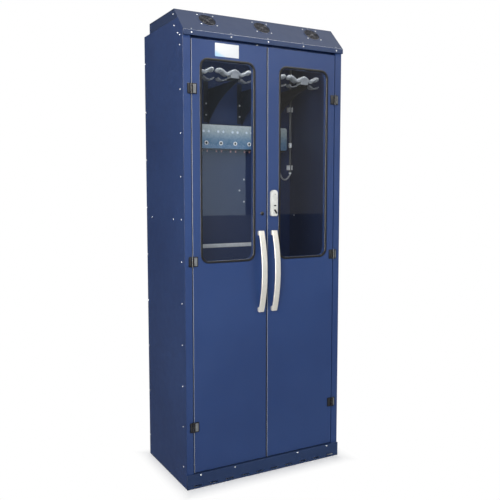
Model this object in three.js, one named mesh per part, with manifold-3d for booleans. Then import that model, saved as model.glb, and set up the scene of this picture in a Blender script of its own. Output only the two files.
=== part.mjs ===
// Two-door drying cabinet for long flexible instruments.
// Millimetres. X runs left to right seen from the front, Y front to back, Z up.
// Depths are counted from the front face of the body until the last lines,
// which shift the whole model so that its bounding box is centred.

import * as THREE from 'three';
import { mergeVertices } from 'three/addons/utils/BufferGeometryUtils.js';
import Module from 'manifold-3d';

const wasm = await Module();
wasm.setup();

// ---------------------------------------------------------------- sizes

// Body
const cabinetWidth = 914;
const cabinetDepth = 520;
const overallHeight = 2345;
const hoodStep = 49;             // top of the hood above the body's roof
const sheet = 1.5;               // steel sheet
const fit = 0.3;                 // clearance between pieces that meet
const floorGap = 2;              // edges of the sheets above the floor
const foldWidth = 20;            // foot fold of a side sheet
const headerRise = 30;           // front sheet above the opening
const backInset = 16.5;          // back panel's outer face in from the rear edge
const floorLevel = 80;           // top of the inner floor
const floorFold = 60;            // height of the inner floor's folded edges
const ceilingRise = 27;          // underside of the inner ceiling above the doors
const ceilingRim = 14;
const roofOverlap = 134;         // roof sheet reaching forward under the hood
const roofFold = 16;

// Levelling feet
const footInset = 44;
const footRadius = 20;
const footStud = 6;
const footStudHeight = 46;
const footPlate = 3;

// Door opening and doors
const stileWidth = 38.5;
const doorGap = 3;
const doorBottom = 78;
const headerGap = 11;            // open band over the doors, in the hood's shadow
const doorDepth = 24.7;
const doorLip = 12;
const stopWidth = 18;
const stopWidthTop = 30;
const stopDepth = 27.5;
const sealWidth = 12;
const sealMargin = 1.5;

// Window
const windowStile = 66.8;        // meeting edge of the door to the gasket
const hingeStile = 43.2;         // gasket to the hinge edge of the door
const windowDrop = 85;           // top of the door to the gasket
const windowHeight = 986;
const windowRadius = 45;
const gasketWidth = 11;
const gasketCover = 6;           // gasket lip over the door's sheet
const gasketProud = 2.6;
const gasketLip = 2.2;           // gasket lip behind the pane
const paneThickness = 4;
const paneBite = 4;              // pane edge inside the gasket

// Hood
const hoodOverhang = 12;
const hoodLap = 2;               // top sheet past the cheeks on each side
const hoodRearInset = 86;
const apexDepth = 100;
const slopeRise = 117;           // eave to the top
const lipHeight = 24;
const railHeight = 14;
const railInset = 12;
const railRise = 5;              // rail above the lower edge of the lip

// Fans
const fanSize = 92;
const fanDepth = 25;
const fanBore = 88;
const fanRise = 99;              // fan centre up the slope from the eave
const fanHub = 36;
const fanBlades = 7;
const fanSides = 20;
const fanClearance = 0.6;        // round the frame in the hood's hole
const tipClearance = 1.6;
const strutDepth = 4;
const strutWidth = 4;
const guardDepth = 1.3;
const guardRings = [35, 21];
const guardHub = 7;
const guardWire = 1.8;
const guardSet = 0.2;            // guard below the face of the slope

// Vent slots under each fan
const ventRows = 3;
const ventPitch = 30;
const ventLength = 100;
const ventHeight = 9;
const ventStart = 70;

// Hinges
const hingeEnd = 234.5;          // end of the door to the middle of a hinge
const hingeHeight = 50;
const hingeLeaf = 3;
const knuckleRadius = 5;
const knuckleCount = 5;
const knuckleRoom = 0.8;
const pinRadius = 2;
const pinRoom = 0.4;
const frameLeafWidth = 20;
const doorLeafWidth = 29;

// Handles
const handleBottom = 860;
const handleLength = 417;
const handleWidth = 31;
const handleThickness = 9;
const handleProud = 50;
const handleEndProud = 15;
const handleFoot = 24;
const handleBevel = 1.6;
const handleOffset = 39;         // from the meeting line

// Lock on the right door, cap and bolt on the left one
const lockOffset = 38;
const lockWidth = 42;
const lockBottom = 1350;
const lockHeight = 136;
const lockProud = 18;
const lockBevel = 2.5;
const lockRadius = 9;
const lockTopRadius = 17;
const spindleRise = 24;          // spindle above the lower end of the housing
const knobRadius = 13;
const knobBase = 4;
const knobGrip = 9;
const spindleRadius = 4;
const turnRoom = 0.8;
const camLength = 58;
const camThickness = 3;
const camBehind = 2.1;
const capOffset = 28;
const capDrop = 10;              // cap below the spindle
const capRadius = 10;
const capHeight = 5;
const capStem = 3;
const strikeThickness = 1.2;
const strikeWidth = 25;
const strikeBelow = 16;
const strikeAbove = 24;
const boltOffset = 52;
const boltRadius = 4;
const boltRoom = 0.6;
const boltLength = 106;
const boltTravel = 14;
const boltBelowLip = 2;
const boltStubRise = 30;
const boltStubReach = 11;
const guideRises = [10, 72];
const guideHeight = 10;

// Base
const kickHeight = 74;
const kickProud = 10;
const slotCount = 10;
const slotLength = 45;
const slotHeight = 6;
const slotLevel = 15;
const slotSideInset = 12;

// Drip tray
const trayHeight = 24;
const traySideInset = 67;
const trayFrontInset = 60;
const trayRearInset = 32;

// Scope hangers
const hangerCount = 4;
const hangerSideInset = 31;
const hangerDrop = 143;          // top of the doors to the seat
const bracketDrop = 196;
const bracketRise = 38;
const bracketSheet = 3;
const bracketFlange = 28;
const bracketFoot = 8;
const bracketNose = 14;
const bracketReach = 362;        // from the back wall to the bracket's nose
const webOffset = 12.5;          // web to the right of the hanger's centre
const seatHalf = 30;
const hangerReach = 64;
const hangerHalfSpan = 82;
const hangerRise = 38;           // crest of the wave above the seat
const hangerSwell = 9;
const hangerBar = 18;
const hangerTip = 14;
const pedestalHalf = 24;
const lipSheet = 5;
const lipDip = 9;

// Manifold and air line
const manifoldSideInset = 66;
const manifoldDrop = 479;        // top of the doors to the lower edge of the face
const manifoldHeight = 130;
const manifoldDepth = 64;        // face to the back wall
const manifoldPlate = 2;
const manifoldRadius = 13;
const manifoldBelow = 8;         // body below the face
const stationCount = 8;
const stationEnd = 76;           // end of the face to the first station
const portRise = 29;
const portRadius = 12;
const portBore = 6.4;
const portProud = 6;
const portSides = 8;
const outletSpread = 16;
const outletShare = 0.39;        // place between the face and the back wall
const outletLength = 12;
const outletRadius = 4.5;
const tubeRadius = 7;
const tubeSideInset = 17;
const tubeWallGap = 24;
const tubeDrop = 118;            // manifold's underside to the foot of the tube
const tubeRiseAbove = 33;        // bend above the inner ceiling
const tubeBend = 15;
const clipRises = [28, 372];
const clipHeight = 28;
const clipSheet = 3.5;
const hoseRadius = 5;
const hoseSpan = 88;             // hose end on the manifold to the tube

// Pump, filter and mains inlet in the hood
const filterLength = 90;
const filterRadius = 19;
const pumpLength = 140;
const pumpHeight = 58;
const pumpRear = 22;             // behind and before the tube's axis
const pumpFront = 40;
const pumpRibs = 3;
const pumpRibPitch = 26;
const pumpRibStart = 48;
const pumpRibProud = 4;
const motorRadius = 24;
const motorLength = 40;
const motorShift = 10;
const filterNeck = 6;
const filterShoulder = 12;
const inletSideInset = 77;
const inletRise = 40;            // inlet above the inner ceiling
const inletHalfWidth = 12;
const inletHalfHeight = 8;
const inletDepth = 24;
const inletWall = 2.5;
const inletPinPitch = 7;
const inletRimHalf = 24;
const inletRimRise = 15;

// ---------------------------------------------------------------- derived places

const halfWidth = cabinetWidth / 2;
const bodyHeight = overallHeight - hoodStep;
const eaveHeight = overallHeight - slopeRise;
const lipBottom = eaveHeight - lipHeight;
const openingTop = lipBottom + boltBelowLip;
const doorTop = openingTop - headerGap;
const ceilingLevel = doorTop + ceilingRise;
const innerHalf = halfWidth - sheet - fit;
const panHalf = innerHalf - sheet - fit;
const openingHalf = halfWidth - stileWidth;
const openingBottom = doorBottom - doorGap;
const postDepth = stopDepth + sheet;
const doorInner = doorGap / 2;
const doorOuter = openingHalf - doorGap;
const windowInner = doorInner + windowStile;
const windowOuter = doorOuter - hingeStile;
const windowTop = doorTop - windowDrop;
const windowBottom = windowTop - windowHeight;
const gasketRear = paneThickness + fit + gasketLip;
const linerBack = doorDepth - sheet / 2;
const hingeX = (openingHalf + doorOuter) / 2;
const hingeDepth = -(knuckleRadius + sheet);
const hingeHeights = [doorBottom + hingeEnd, (doorBottom + doorTop) / 2, doorTop - hingeEnd];
const handleTop = handleBottom + handleLength;
const spindleHeight = lockBottom + spindleRise;
const capLevel = spindleHeight - capDrop;
const boltTip = lipBottom - boltBelowLip;
const boltLow = boltTip - boltLength;
const boltStub = boltLow + boltStubRise;
const camDepth = doorDepth + camBehind;
const backFace = cabinetDepth - backInset;
const wallFace = backFace - sheet;
const hoodRear = cabinetDepth - hoodRearInset;
const fanPitch = (cabinetWidth - 2) / 3;
const slotPitch = (cabinetWidth - 2 * slotSideInset) / slotCount;
const panFront = postDepth + fit;
const panRear = wallFace - fit;
const footPlaneInset = 42;
const hangerPitch = (cabinetWidth - 2 * hangerSideInset) / hangerCount;
const hangerSeat = doorTop - hangerDrop;
const bracketBottom = hangerSeat - bracketDrop;
const bracketTop = hangerSeat + bracketRise;
const hangerCrest = hangerSeat + hangerRise;
const manifoldHalf = halfWidth - manifoldSideInset;
const manifoldBottom = doorTop - manifoldDrop;
const manifoldFaceDepth = wallFace - manifoldDepth;
const manifoldRear = wallFace - fit;
const underside = manifoldBottom - manifoldBelow;
const stationPitch = 2 * (manifoldHalf - stationEnd) / (stationCount - 1);
const outletDepth = manifoldFaceDepth + outletShare * manifoldDepth;
const tubeX = halfWidth - tubeSideInset;
const tubeDepth = wallFace - tubeWallGap;
const tubeBottom = underside - tubeDrop;
const tubeTop = ceilingLevel + tubeRiseAbove;
const hoseX = tubeX - hoseSpan;
const filterRight = tubeX - tubeBend;
const pumpRight = filterRight - filterLength;
const inletX = halfWidth - inletSideInset;
const inletZ = ceilingLevel + inletRise;
const fanTop = -sheet - fit;
const fanBottom = fanTop - fanDepth;
const slopeAngle = Math.atan2(slopeRise, apexDepth + hoodOverhang);

function slopeHeight(depth, inset) {
  return eaveHeight + (depth + hoodOverhang) * Math.tan(slopeAngle) - inset / Math.cos(slopeAngle);
}

function slopeDepth(height, inset) {
  const rise = height - eaveHeight + inset / Math.cos(slopeAngle);
  return rise / Math.tan(slopeAngle) - hoodOverhang;
}

// ---------------------------------------------------------------- solids

const unitX = new THREE.Vector3(1, 0, 0);
const unitY = new THREE.Vector3(0, 1, 0);
const unitZ = new THREE.Vector3(0, 0, 1);
const turnX = new THREE.Matrix4().makeBasis(unitY, unitZ, unitX);
const turnY = new THREE.Matrix4().makeBasis(unitX, unitZ, unitY.clone().negate());

function solid(geometry) {
  const bare = geometry.clone();
  bare.deleteAttribute('normal');
  bare.deleteAttribute('uv');
  const merged = mergeVertices(bare, 1e-4);
  const vertProperties = new Float32Array(merged.getAttribute('position').array);
  const triVerts = new Uint32Array(merged.getIndex().array);
  return new wasm.Manifold(new wasm.Mesh({ numProp: 3, vertProperties, triVerts }));
}

function surface(body) {
  const mesh = body.getMesh();
  const geometry = new THREE.BufferGeometry();
  geometry.setAttribute('position', new THREE.BufferAttribute(mesh.vertProperties, 3));
  geometry.setIndex(new THREE.BufferAttribute(mesh.triVerts, 1));
  geometry.computeVertexNormals();
  return geometry;
}

function join(...bodies) {
  return bodies.reduce((whole, piece) => whole.add(piece));
}

function cut(body, ...tools) {
  return tools.reduce((rest, tool) => rest.subtract(tool), body);
}

function sorted(a, b) {
  return [Math.min(a, b), Math.max(a, b)];
}

// A box between two limits on each axis.
function block(xs, ys, zs) {
  const [x0, x1] = sorted(...xs);
  const [y0, y1] = sorted(...ys);
  const [z0, z1] = sorted(...zs);
  const geometry = new THREE.BoxGeometry(x1 - x0, y1 - y0, z1 - z0);
  geometry.translate((x0 + x1) / 2, (y0 + y1) / 2, (z0 + z1) / 2);
  return solid(geometry);
}

// A flat outline pushed along one axis between two limits. Along x the outline is (y, z),
// along y it is (x, z) and along z it is (x, y).
function extrude(outline, axis, limits, { bevel = 0, curve = 2 } = {}) {
  const [from, to] = sorted(...limits);
  const shape = Array.isArray(outline) ? polygon(outline) : outline;
  const geometry = new THREE.ExtrudeGeometry(shape, {
    depth: to - from - 2 * bevel,
    bevelEnabled: bevel > 0,
    bevelThickness: bevel,
    bevelSize: bevel,
    bevelOffset: -bevel,
    bevelSegments: 1,
    curveSegments: curve,
  });
  geometry.translate(0, 0, bevel);
  if (axis === 'x') {
    geometry.applyMatrix4(turnX);
    geometry.translate(from, 0, 0);
  } else if (axis === 'y') {
    geometry.applyMatrix4(turnY);
    geometry.translate(0, to, 0);
  } else {
    geometry.translate(0, 0, from);
  }
  return solid(geometry);
}

function polygon(points) {
  return new THREE.Shape(points.map(([x, y]) => new THREE.Vector2(x, y)));
}

function circle(radius, cx = 0, cy = 0) {
  const shape = new THREE.Shape();
  shape.absarc(cx, cy, radius, 0, Math.PI * 2);
  return shape;
}

// A rectangle with round corners; the radius may differ at the top.
function roundedBox(left, right, bottom, top, radius, topRadius = radius) {
  const shape = new THREE.Shape();
  const quarter = Math.PI / 2;
  shape.absarc(right - radius, bottom + radius, radius, -quarter, 0);
  shape.absarc(right - topRadius, top - topRadius, topRadius, 0, quarter);
  shape.absarc(left + topRadius, top - topRadius, topRadius, quarter, 2 * quarter);
  shape.absarc(left + radius, bottom + radius, radius, 2 * quarter, 3 * quarter);
  shape.closePath();
  return shape;
}

// A round bar along one axis; the other two coordinates are its centre.
function rod(radius, axis, limits, centre, sides = 16) {
  const [from, to] = sorted(...limits);
  const geometry = new THREE.CylinderGeometry(radius, radius, to - from, sides);
  const middle = (from + to) / 2;
  if (axis === 'x') {
    geometry.rotateZ(Math.PI / 2);
    geometry.translate(middle, centre[0], centre[1]);
  } else if (axis === 'y') {
    geometry.translate(centre[0], middle, centre[1]);
  } else {
    geometry.rotateX(Math.PI / 2);
    geometry.translate(centre[0], centre[1], middle);
  }
  return solid(geometry);
}

// A turned piece about +Z from a profile of (radius, height), listed upwards on its outside.
function turned(profile, sides) {
  const points = profile.map(([radius, height]) => new THREE.Vector2(radius, height));
  const geometry = new THREE.LatheGeometry(points, sides);
  geometry.rotateX(Math.PI / 2);
  return geometry;
}

function moved(geometry, position, normal = unitZ) {
  const copy = geometry.clone();
  copy.applyQuaternion(new THREE.Quaternion().setFromUnitVectors(unitZ, normal));
  copy.translate(position.x, position.y, position.z);
  return copy;
}

// A skin over rings of points, each ring counterclockwise seen from the far end.
function loft(rings) {
  const count = rings[0].length;
  const position = rings.flat().flatMap((point) => [point.x, point.y, point.z]);
  const index = [];
  for (let ring = 0; ring < rings.length - 1; ring += 1) {
    for (let side = 0; side < count; side += 1) {
      const a = ring * count + side;
      const b = ring * count + (side + 1) % count;
      index.push(a, b, b + count, a, b + count, a + count);
    }
  }
  const last = (rings.length - 1) * count;
  for (let side = 1; side < count - 1; side += 1) {
    index.push(0, side + 1, side, last, last + side, last + side + 1);
  }
  const geometry = new THREE.BufferGeometry();
  geometry.setAttribute('position', new THREE.Float32BufferAttribute(position, 3));
  geometry.setIndex(index);
  return solid(geometry);
}

// ---------------------------------------------------------------- scene graph

const finishes = {
  bluePaint: { color: 0x34508f, roughness: 0.42, metalness: 0.1 },
  blackPaint: { color: 0x1b1c20, roughness: 0.5, metalness: 0.1 },
  zincSteel: { color: 0xb9bcc0, roughness: 0.4, metalness: 0.8 },
  satinSteel: { color: 0xd6d7d6, roughness: 0.3, metalness: 0.7 },
  blackPlastic: { color: 0x191a1c, roughness: 0.55, metalness: 0 },
  whitePlastic: { color: 0xe9ebea, roughness: 0.25, metalness: 0 },
  silverPlastic: { color: 0xd9dad7, roughness: 0.35, metalness: 0.2 },
  rubber: { color: 0x151515, roughness: 0.8, metalness: 0 },
  pane: { color: 0xbfd0e0, roughness: 0.05, metalness: 0 },
  panelBlue: { color: 0x7fb2d6, roughness: 0.35, metalness: 0 },
  filterPaper: { color: 0xd8d9d4, roughness: 0.7, metalness: 0 },
};

const model = new THREE.Group();

function addPart(parent, name, shape, finish) {
  const geometry = shape instanceof THREE.BufferGeometry ? shape : surface(shape);
  const mesh = new THREE.Mesh(geometry, new THREE.MeshStandardMaterial(finishes[finish]));
  mesh.name = name;
  parent.add(mesh);
  return mesh;
}

// ---------------------------------------------------------------- body

// Side sheet with its front top corner cut to the hood's slope and a foot fold.
function sidePanel(side) {
  const outline = [
    [0, floorGap],
    [cabinetDepth, floorGap],
    [cabinetDepth, bodyHeight],
    [slopeDepth(bodyHeight, sheet + fit), bodyHeight],
    [0, slopeHeight(0, sheet + fit)],
  ];
  const skin = extrude(outline, 'x', [side * halfWidth, side * (halfWidth - sheet)]);
  const foldDepths = [postDepth + 2, wallFace - 2];
  const foldEnd = side * (innerHalf - foldWidth);
  const fold = block([side * halfWidth, foldEnd], foldDepths, [floorGap, floorGap + sheet]);
  return join(skin, fold);
}

// Door post: face, reveal beside the door, stop behind it and a flange along the side sheet.
function doorPost(side) {
  const bottom = kickHeight + fit;
  const top = openingTop + headerRise;
  const face = block([side * openingHalf, side * innerHalf], [0, sheet], [bottom, top]);
  const revealSides = [side * openingHalf, side * (openingHalf + sheet)];
  const reveal = block(revealSides, [0, postDepth], [bottom, top]);
  const flange = block([side * innerHalf, side * (innerHalf - sheet)], [0, postDepth], [bottom, top]);
  const stop = block(
    [side * (openingHalf - stopWidth), side * (openingHalf + sheet)],
    [stopDepth, postDepth],
    [bottom, openingTop - fit],
  );
  return join(face, reveal, flange, stop);
}

// Folded sheet over the doors, with the top stop and the rail behind the hood's lip.
function frontHeader() {
  const half = openingHalf - fit;
  const stopHalf = openingHalf - stopWidth - fit;
  const top = openingTop + headerRise;
  const face = block([-half, half], [0, sheet], [openingTop, top]);
  const reveal = block([-half, half], [0, postDepth], [openingTop, openingTop + sheet]);
  const stop = block(
    [-stopHalf, stopHalf],
    [stopDepth, postDepth],
    [openingTop - stopWidthTop, openingTop + sheet],
  );
  const railTop = lipBottom + railRise + railHeight;
  const railDepth = -(hoodOverhang - sheet - fit);
  const railHalf = halfWidth - railInset;
  const rail = join(
    block([-railHalf, railHalf], [railDepth, railDepth + sheet], [railTop - railHeight, railTop]),
    block([-railHalf, railHalf], [railDepth, -fit], [railTop - sheet, railTop]),
    block([-half, half], [railDepth, sheet], [railTop - sheet, railTop]),
  );
  const holeLimits = [openingTop - 1, openingTop + sheet + 1];
  const boltHole = rod(boltRadius + 1, 'z', holeLimits, [-boltOffset, doorDepth / 2], 10);
  return cut(join(face, reveal, stop, rail), boltHole);
}

// Back sheet with folded edges, its top running forward as the roof under the back of the hood.
function backPanel() {
  const rear = cabinetDepth - sheet - fit;
  const whole = block([-innerHalf, innerHalf], [wallFace, rear], [floorGap, bodyHeight]);
  const tray = block(
    [-innerHalf + sheet, innerHalf - sheet],
    [backFace, rear + 1],
    [floorGap + sheet, bodyHeight - sheet],
  );
  const roofFront = hoodRear - roofOverlap;
  const across = [-innerHalf, innerHalf];
  const roof = block(across, [roofFront, rear], [bodyHeight - sheet, bodyHeight]);
  const roofEdge = block(across, [roofFront, roofFront + sheet], [bodyHeight - roofFold, bodyHeight]);
  const holeHalf = inletHalfWidth + inletWall + 2 * fit;
  const holeRise = inletHalfHeight + inletWall + 2 * fit;
  const hole = block(
    [-inletX - holeHalf, -inletX + holeHalf],
    [wallFace - 1, rear],
    [inletZ - holeRise, inletZ + holeRise],
  );
  return cut(join(cut(whole, tray), roof, roofEdge), hole);
}

// A pan: a flat sheet with a folded edge all round, open on the side of the folds.
function pan(half, depths, level, foldEnd) {
  const inward = Math.sign(foldEnd - level);
  const [front, rear] = depths;
  const whole = block([-half, half], depths, [level, foldEnd]);
  const hollow = block(
    [-half + sheet, half - sheet],
    [front + sheet, rear - sheet],
    [level + inward * sheet, foldEnd + inward],
  );
  return cut(whole, hollow);
}

// Inner ceiling with three groups of vent slots below the fans.
function ceilingPanel() {
  const slots = [];
  for (const fan of [-1, 0, 1]) {
    for (let row = 0; row < ventRows; row += 1) {
      const depth = ventStart + row * ventPitch;
      slots.push(block(
        [fan * fanPitch - ventLength / 2, fan * fanPitch + ventLength / 2],
        [depth, depth + ventHeight],
        [ceilingLevel - 1, ceilingLevel + sheet + 1],
      ));
    }
  }
  const tubeLimits = [ceilingLevel - 1, ceilingLevel + sheet + 1];
  const tubeHole = rod(tubeRadius + 1.2, 'z', tubeLimits, [tubeX, tubeDepth], 12);
  const sheetPan = pan(panHalf, [panFront, panRear], ceilingLevel, ceilingLevel + ceilingRim);
  return cut(sheetPan, ...slots, tubeHole);
}

// Inner floor folded down all round, with a foot plate and a levelling foot in each corner.
function basePan() {
  const foldBottom = floorLevel - floorFold;
  const plates = footPlaces().map(([x, y]) => {
    const toFront = y < cabinetDepth / 2;
    const edge = toFront ? panFront + sheet / 2 : panRear - sheet / 2;
    const inner = toFront ? y + 2 * footRadius : y - 2 * footRadius;
    const side = Math.sign(x);
    const across = [side * (panHalf - sheet / 2), x - side * footInset];
    return block(across, [edge, inner], [foldBottom, foldBottom + footPlate]);
  });
  const sheetPan = pan(panHalf, [panFront, panRear], floorLevel, foldBottom);
  return join(sheetPan, ...plates, ...footPlaces().map(levelingFoot));
}

function footPlaces() {
  const depths = [stopDepth + footPlaneInset, wallFace - footPlaneInset];
  return [-1, 1].flatMap((side) => depths.map((y) => [side * (panHalf - footInset), y]));
}

// Pad and stud of a foot.
function levelingFoot([x, y]) {
  const profile = [
    [0, 0],
    [footRadius, 0],
    [footRadius, 4],
    [footStud, 9],
    [footStud, footStudHeight],
    [0, footStudHeight],
  ];
  return solid(moved(turned(profile, 8), new THREE.Vector3(x, y, 0)));
}

// A slot with each end cut to three flats.
function slotOutline(x, z, half, rise) {
  return [
    [x - half, z - rise / 2],
    [x - half + rise, z - rise],
    [x + half - rise, z - rise],
    [x + half, z - rise / 2],
    [x + half, z + rise / 2],
    [x + half - rise, z + rise],
    [x - half + rise, z + rise],
    [x - half, z + rise / 2],
  ];
}

// Plinth cover with a row of air slots; its top runs back as the sill and turns up as a stop.
function kickPanel() {
  const front = -kickProud;
  const whole = block([-halfWidth, halfWidth], [front, -fit], [floorGap, kickHeight]);
  const hollowHalf = halfWidth - sheet;
  const hollow = block([-hollowHalf, hollowHalf], [front + sheet, 1], [0, kickHeight - sheet]);
  const ledgeLevels = [kickHeight - sheet, kickHeight];
  const ledge = block([-innerHalf, innerHalf], [-kickProud / 2, postDepth], ledgeLevels);
  const stopHalf = openingHalf - stopWidth - fit;
  const stop = block(
    [-stopHalf, stopHalf],
    [stopDepth, postDepth],
    [kickHeight - sheet, openingBottom + stopWidth],
  );
  const slots = spread(slotCount, slotPitch).map((x) => {
    const outline = slotOutline(x, slotLevel, slotLength / 2, slotHeight / 2);
    return extrude(outline, 'y', [front - 1, front + sheet + 1]);
  });
  return cut(join(cut(whole, hollow), ledge, stop), ...slots);
}

// Bulb strip round the opening, between the stop and the doors.
function doorSeal() {
  const right = doorOuter - sealMargin;
  const left = -right;
  const bottom = doorBottom + sealMargin;
  const top = doorTop - 2 * sealMargin;
  const shape = polygon([[left, bottom], [right, bottom], [right, top], [left, top]]);
  const hole = new THREE.Path([
    new THREE.Vector2(left + sealWidth, bottom + sealWidth),
    new THREE.Vector2(left + sealWidth, top - sealWidth),
    new THREE.Vector2(right - sealWidth, top - sealWidth),
    new THREE.Vector2(right - sealWidth, bottom + sealWidth),
  ]);
  shape.holes.push(hole);
  return extrude(shape, 'y', [doorDepth + fit, stopDepth - fit], { bevel: 0.6 });
}

// ---------------------------------------------------------------- hood

// Bent top sheet with a lip and two cheeks, open below, with a hole for each fan.
function hoodShell() {
  const below = lipBottom - 1;
  const outline = [
    [-hoodOverhang, lipBottom],
    [hoodRear, lipBottom],
    [hoodRear, overallHeight],
    [apexDepth, overallHeight],
    [-hoodOverhang, eaveHeight],
  ];
  const inner = [
    [-hoodOverhang + sheet, below],
    [hoodRear - sheet, below],
    [hoodRear - sheet, overallHeight - sheet],
    [slopeDepth(overallHeight - sheet, sheet), overallHeight - sheet],
    [-hoodOverhang + sheet, slopeHeight(-hoodOverhang + sheet, sheet)],
  ];
  const bodyRoom = [
    [-fit, below],
    [hoodRear + 1, below],
    [hoodRear + 1, bodyHeight + fit],
    [slopeDepth(bodyHeight + fit, sheet), bodyHeight + fit],
    [-fit, slopeHeight(-fit, sheet)],
  ];
  const lapHalf = halfWidth + hoodLap;
  const whole = extrude(outline, 'x', [-lapHalf, lapHalf]);
  const hollow = extrude(inner, 'x', [-halfWidth + sheet, halfWidth - sheet]);
  const underLaps = [-1, 1].map((side) => extrude(inner, 'x', [side * halfWidth, side * (lapHalf + 1)]));
  const room = extrude(bodyRoom, 'x', [-lapHalf - 1, lapHalf + 1]);
  const fanHoles = [-1, 0, 1].map((index) => {
    const radius = fanSize / 2 + fanClearance;
    const geometry = new THREE.CylinderGeometry(radius, radius, 8 * sheet, fanSides);
    geometry.rotateX(Math.PI / 2 + slopeAngle);
    const centre = fanCentre(index);
    geometry.translate(centre.x, centre.y, centre.z);
    return solid(geometry);
  });
  return cut(whole, hollow, room, ...underLaps, ...fanHoles);
}

function slopePoint(x, rise) {
  return new THREE.Vector3(
    x,
    -hoodOverhang + rise * Math.cos(slopeAngle),
    eaveHeight + rise * Math.sin(slopeAngle),
  );
}

function fanCentre(index) {
  return slopePoint(index * fanPitch, fanRise);
}

// ---------------------------------------------------------------- fans, drawn with their axis along z

function ring(outer, inner, zs, sides) {
  const shape = circle(outer);
  shape.holes.push(circle(inner));
  return extrude(shape, 'z', zs, { curve: sides / 2 });
}

// Two crossed bars between opposite points of the bore.
function cross(length, width, zs) {
  return join(...[45, 135].map((angle) => {
    const bar = block([-length / 2, length / 2], [-width / 2, width / 2], zs);
    return bar.rotate([0, 0, angle]);
  }));
}

// Flat finger guard on the frame's front: rings, four spokes and a centre disc.
function fanGuard() {
  const zs = [-guardSet - guardDepth, -guardSet];
  const rim = ring(fanSize / 2, fanBore / 2 - guardWire, [fanTop - guardWire, -guardSet], fanSides);
  const rings = guardRings.map((radius) => ring(radius, radius - guardWire, zs, 12));
  const hub = extrude(circle(guardHub), 'z', zs, { curve: 4 });
  return join(rim, ...rings, hub, cross(fanBore - guardWire, guardWire, zs));
}

// Square frame with a round duct, struts to the motor cup and the guard.
function fanFrame() {
  const half = fanSize / 2;
  const body = extrude(roundedBox(-half, half, -half, half, 4), 'z', [fanBottom, fanTop], { curve: 1 });
  const duct = rod(fanBore / 2, 'z', [fanBottom - 1, fanTop + 1], [0, 0], fanSides);
  const strutZs = [fanBottom, fanBottom + strutDepth];
  const cup = rod(fanHub / 2 + 1, 'z', strutZs, [0, 0], 8);
  return join(cut(body, duct), cup, cross(fanBore + 1, strutWidth, strutZs), fanGuard());
}

// One blade section: a thin cambered arc across the axis, set at its pitch.
function bladeSection(radius, chord, pitchDegrees, thickness) {
  const pitch = THREE.MathUtils.degToRad(pitchDegrees);
  const camber = chord * 0.08;
  const stations = [-0.5, 0, 0.5];
  const lower = stations.map((share) => [share * chord, camber * (1 - 4 * share * share) - thickness / 2]);
  const upper = lower.map(([along, height]) => [along, height + thickness]).reverse();
  return [...lower, ...upper].map(([along, height]) => {
    const across = along * Math.cos(pitch) - height * Math.sin(pitch);
    const rise = along * Math.sin(pitch) + height * Math.cos(pitch);
    return new THREE.Vector3(Math.sqrt(radius * radius - across * across), across, rise);
  });
}

function fanRotor() {
  const low = fanBottom + strutDepth + fanClearance;
  const high = fanTop - 2 * fanClearance;
  const middle = (low + high) / 2;
  const hub = rod(fanHub / 2, 'z', [low, high], [0, 0], 14);
  const tip = fanBore / 2 - tipClearance;
  const blades = [];
  for (let index = 0; index < fanBlades; index += 1) {
    const blade = loft([
      bladeSection(fanHub / 2 - 2, fanHub / 2, 52, 1.6),
      bladeSection(tip, fanHub * 0.75, 29, 1.3),
    ]);
    blades.push(blade.translate([0, 0, middle]).rotate([0, 0, index * 360 / fanBlades]));
  }
  return join(hub, ...blades);
}

// ---------------------------------------------------------------- doors (side -1 left, 1 right)

function windowLimits(side, inset) {
  const [left, right] = sorted(
    side * (windowInner + inset),
    side * (windowOuter - inset),
  );
  return [left, right, windowBottom + inset, windowTop - inset];
}

function windowShape(side, inset) {
  const [left, right, bottom, top] = windowLimits(side, inset);
  return roundedBox(left, right, bottom, top, windowRadius - inset);
}

function windowRing(side, outerInset, innerInset, depths) {
  const shape = windowShape(side, outerInset);
  shape.holes.push(windowShape(side, innerInset));
  return extrude(shape, 'y', depths);
}

// Outer tray of the door: face, four folded edges and a narrow return behind.
function doorPan(side) {
  const whole = block([side * doorInner, side * doorOuter], [0, doorDepth], [doorBottom, doorTop]);
  const room = block(
    [side * (doorInner + sheet), side * (doorOuter - sheet)],
    [sheet, doorDepth - sheet],
    [doorBottom + sheet, doorTop - sheet],
  );
  const rear = block(
    [side * (doorInner + doorLip), side * (doorOuter - doorLip)],
    [doorDepth - sheet - 1, doorDepth + 1],
    [doorBottom + doorLip, doorTop - doorLip],
  );
  const window = extrude(windowShape(side, gasketCover), 'y', [-1, sheet + 1]);
  return cut(whole, room, rear, window);
}

// Inner sheet of the door with a folded reveal round the window, welded inside the pan.
function doorLiner(side) {
  const back = linerBack;
  const plate = block(
    [side * (doorInner + sheet / 2), side * (doorOuter - sheet / 2)],
    [back - sheet, back],
    [doorBottom + sheet / 2, doorTop - sheet / 2],
  );
  const reveal = windowRing(side, gasketWidth - sheet, gasketWidth, [gasketRear + fit, back]);
  const hole = extrude(windowShape(side, gasketWidth - sheet), 'y', [back - 2 * sheet, back + 1]);
  return join(cut(plate, hole), reveal);
}

// One rubber profile that grips the sheet outside and the pane inside.
function windowGasket(side) {
  const paneInset = gasketWidth - paneBite;
  const front = windowRing(side, 0, gasketWidth, [-gasketProud, -fit]);
  const web = windowRing(side, gasketCover + fit, paneInset - fit, [-fit - 0.1, gasketRear]);
  const rear = windowRing(side, 1, gasketWidth, [paneThickness + fit, gasketRear]);
  return join(front, web, rear);
}

function windowPane(side) {
  return extrude(windowShape(side, gasketWidth - paneBite), 'y', [0, paneThickness]);
}

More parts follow.
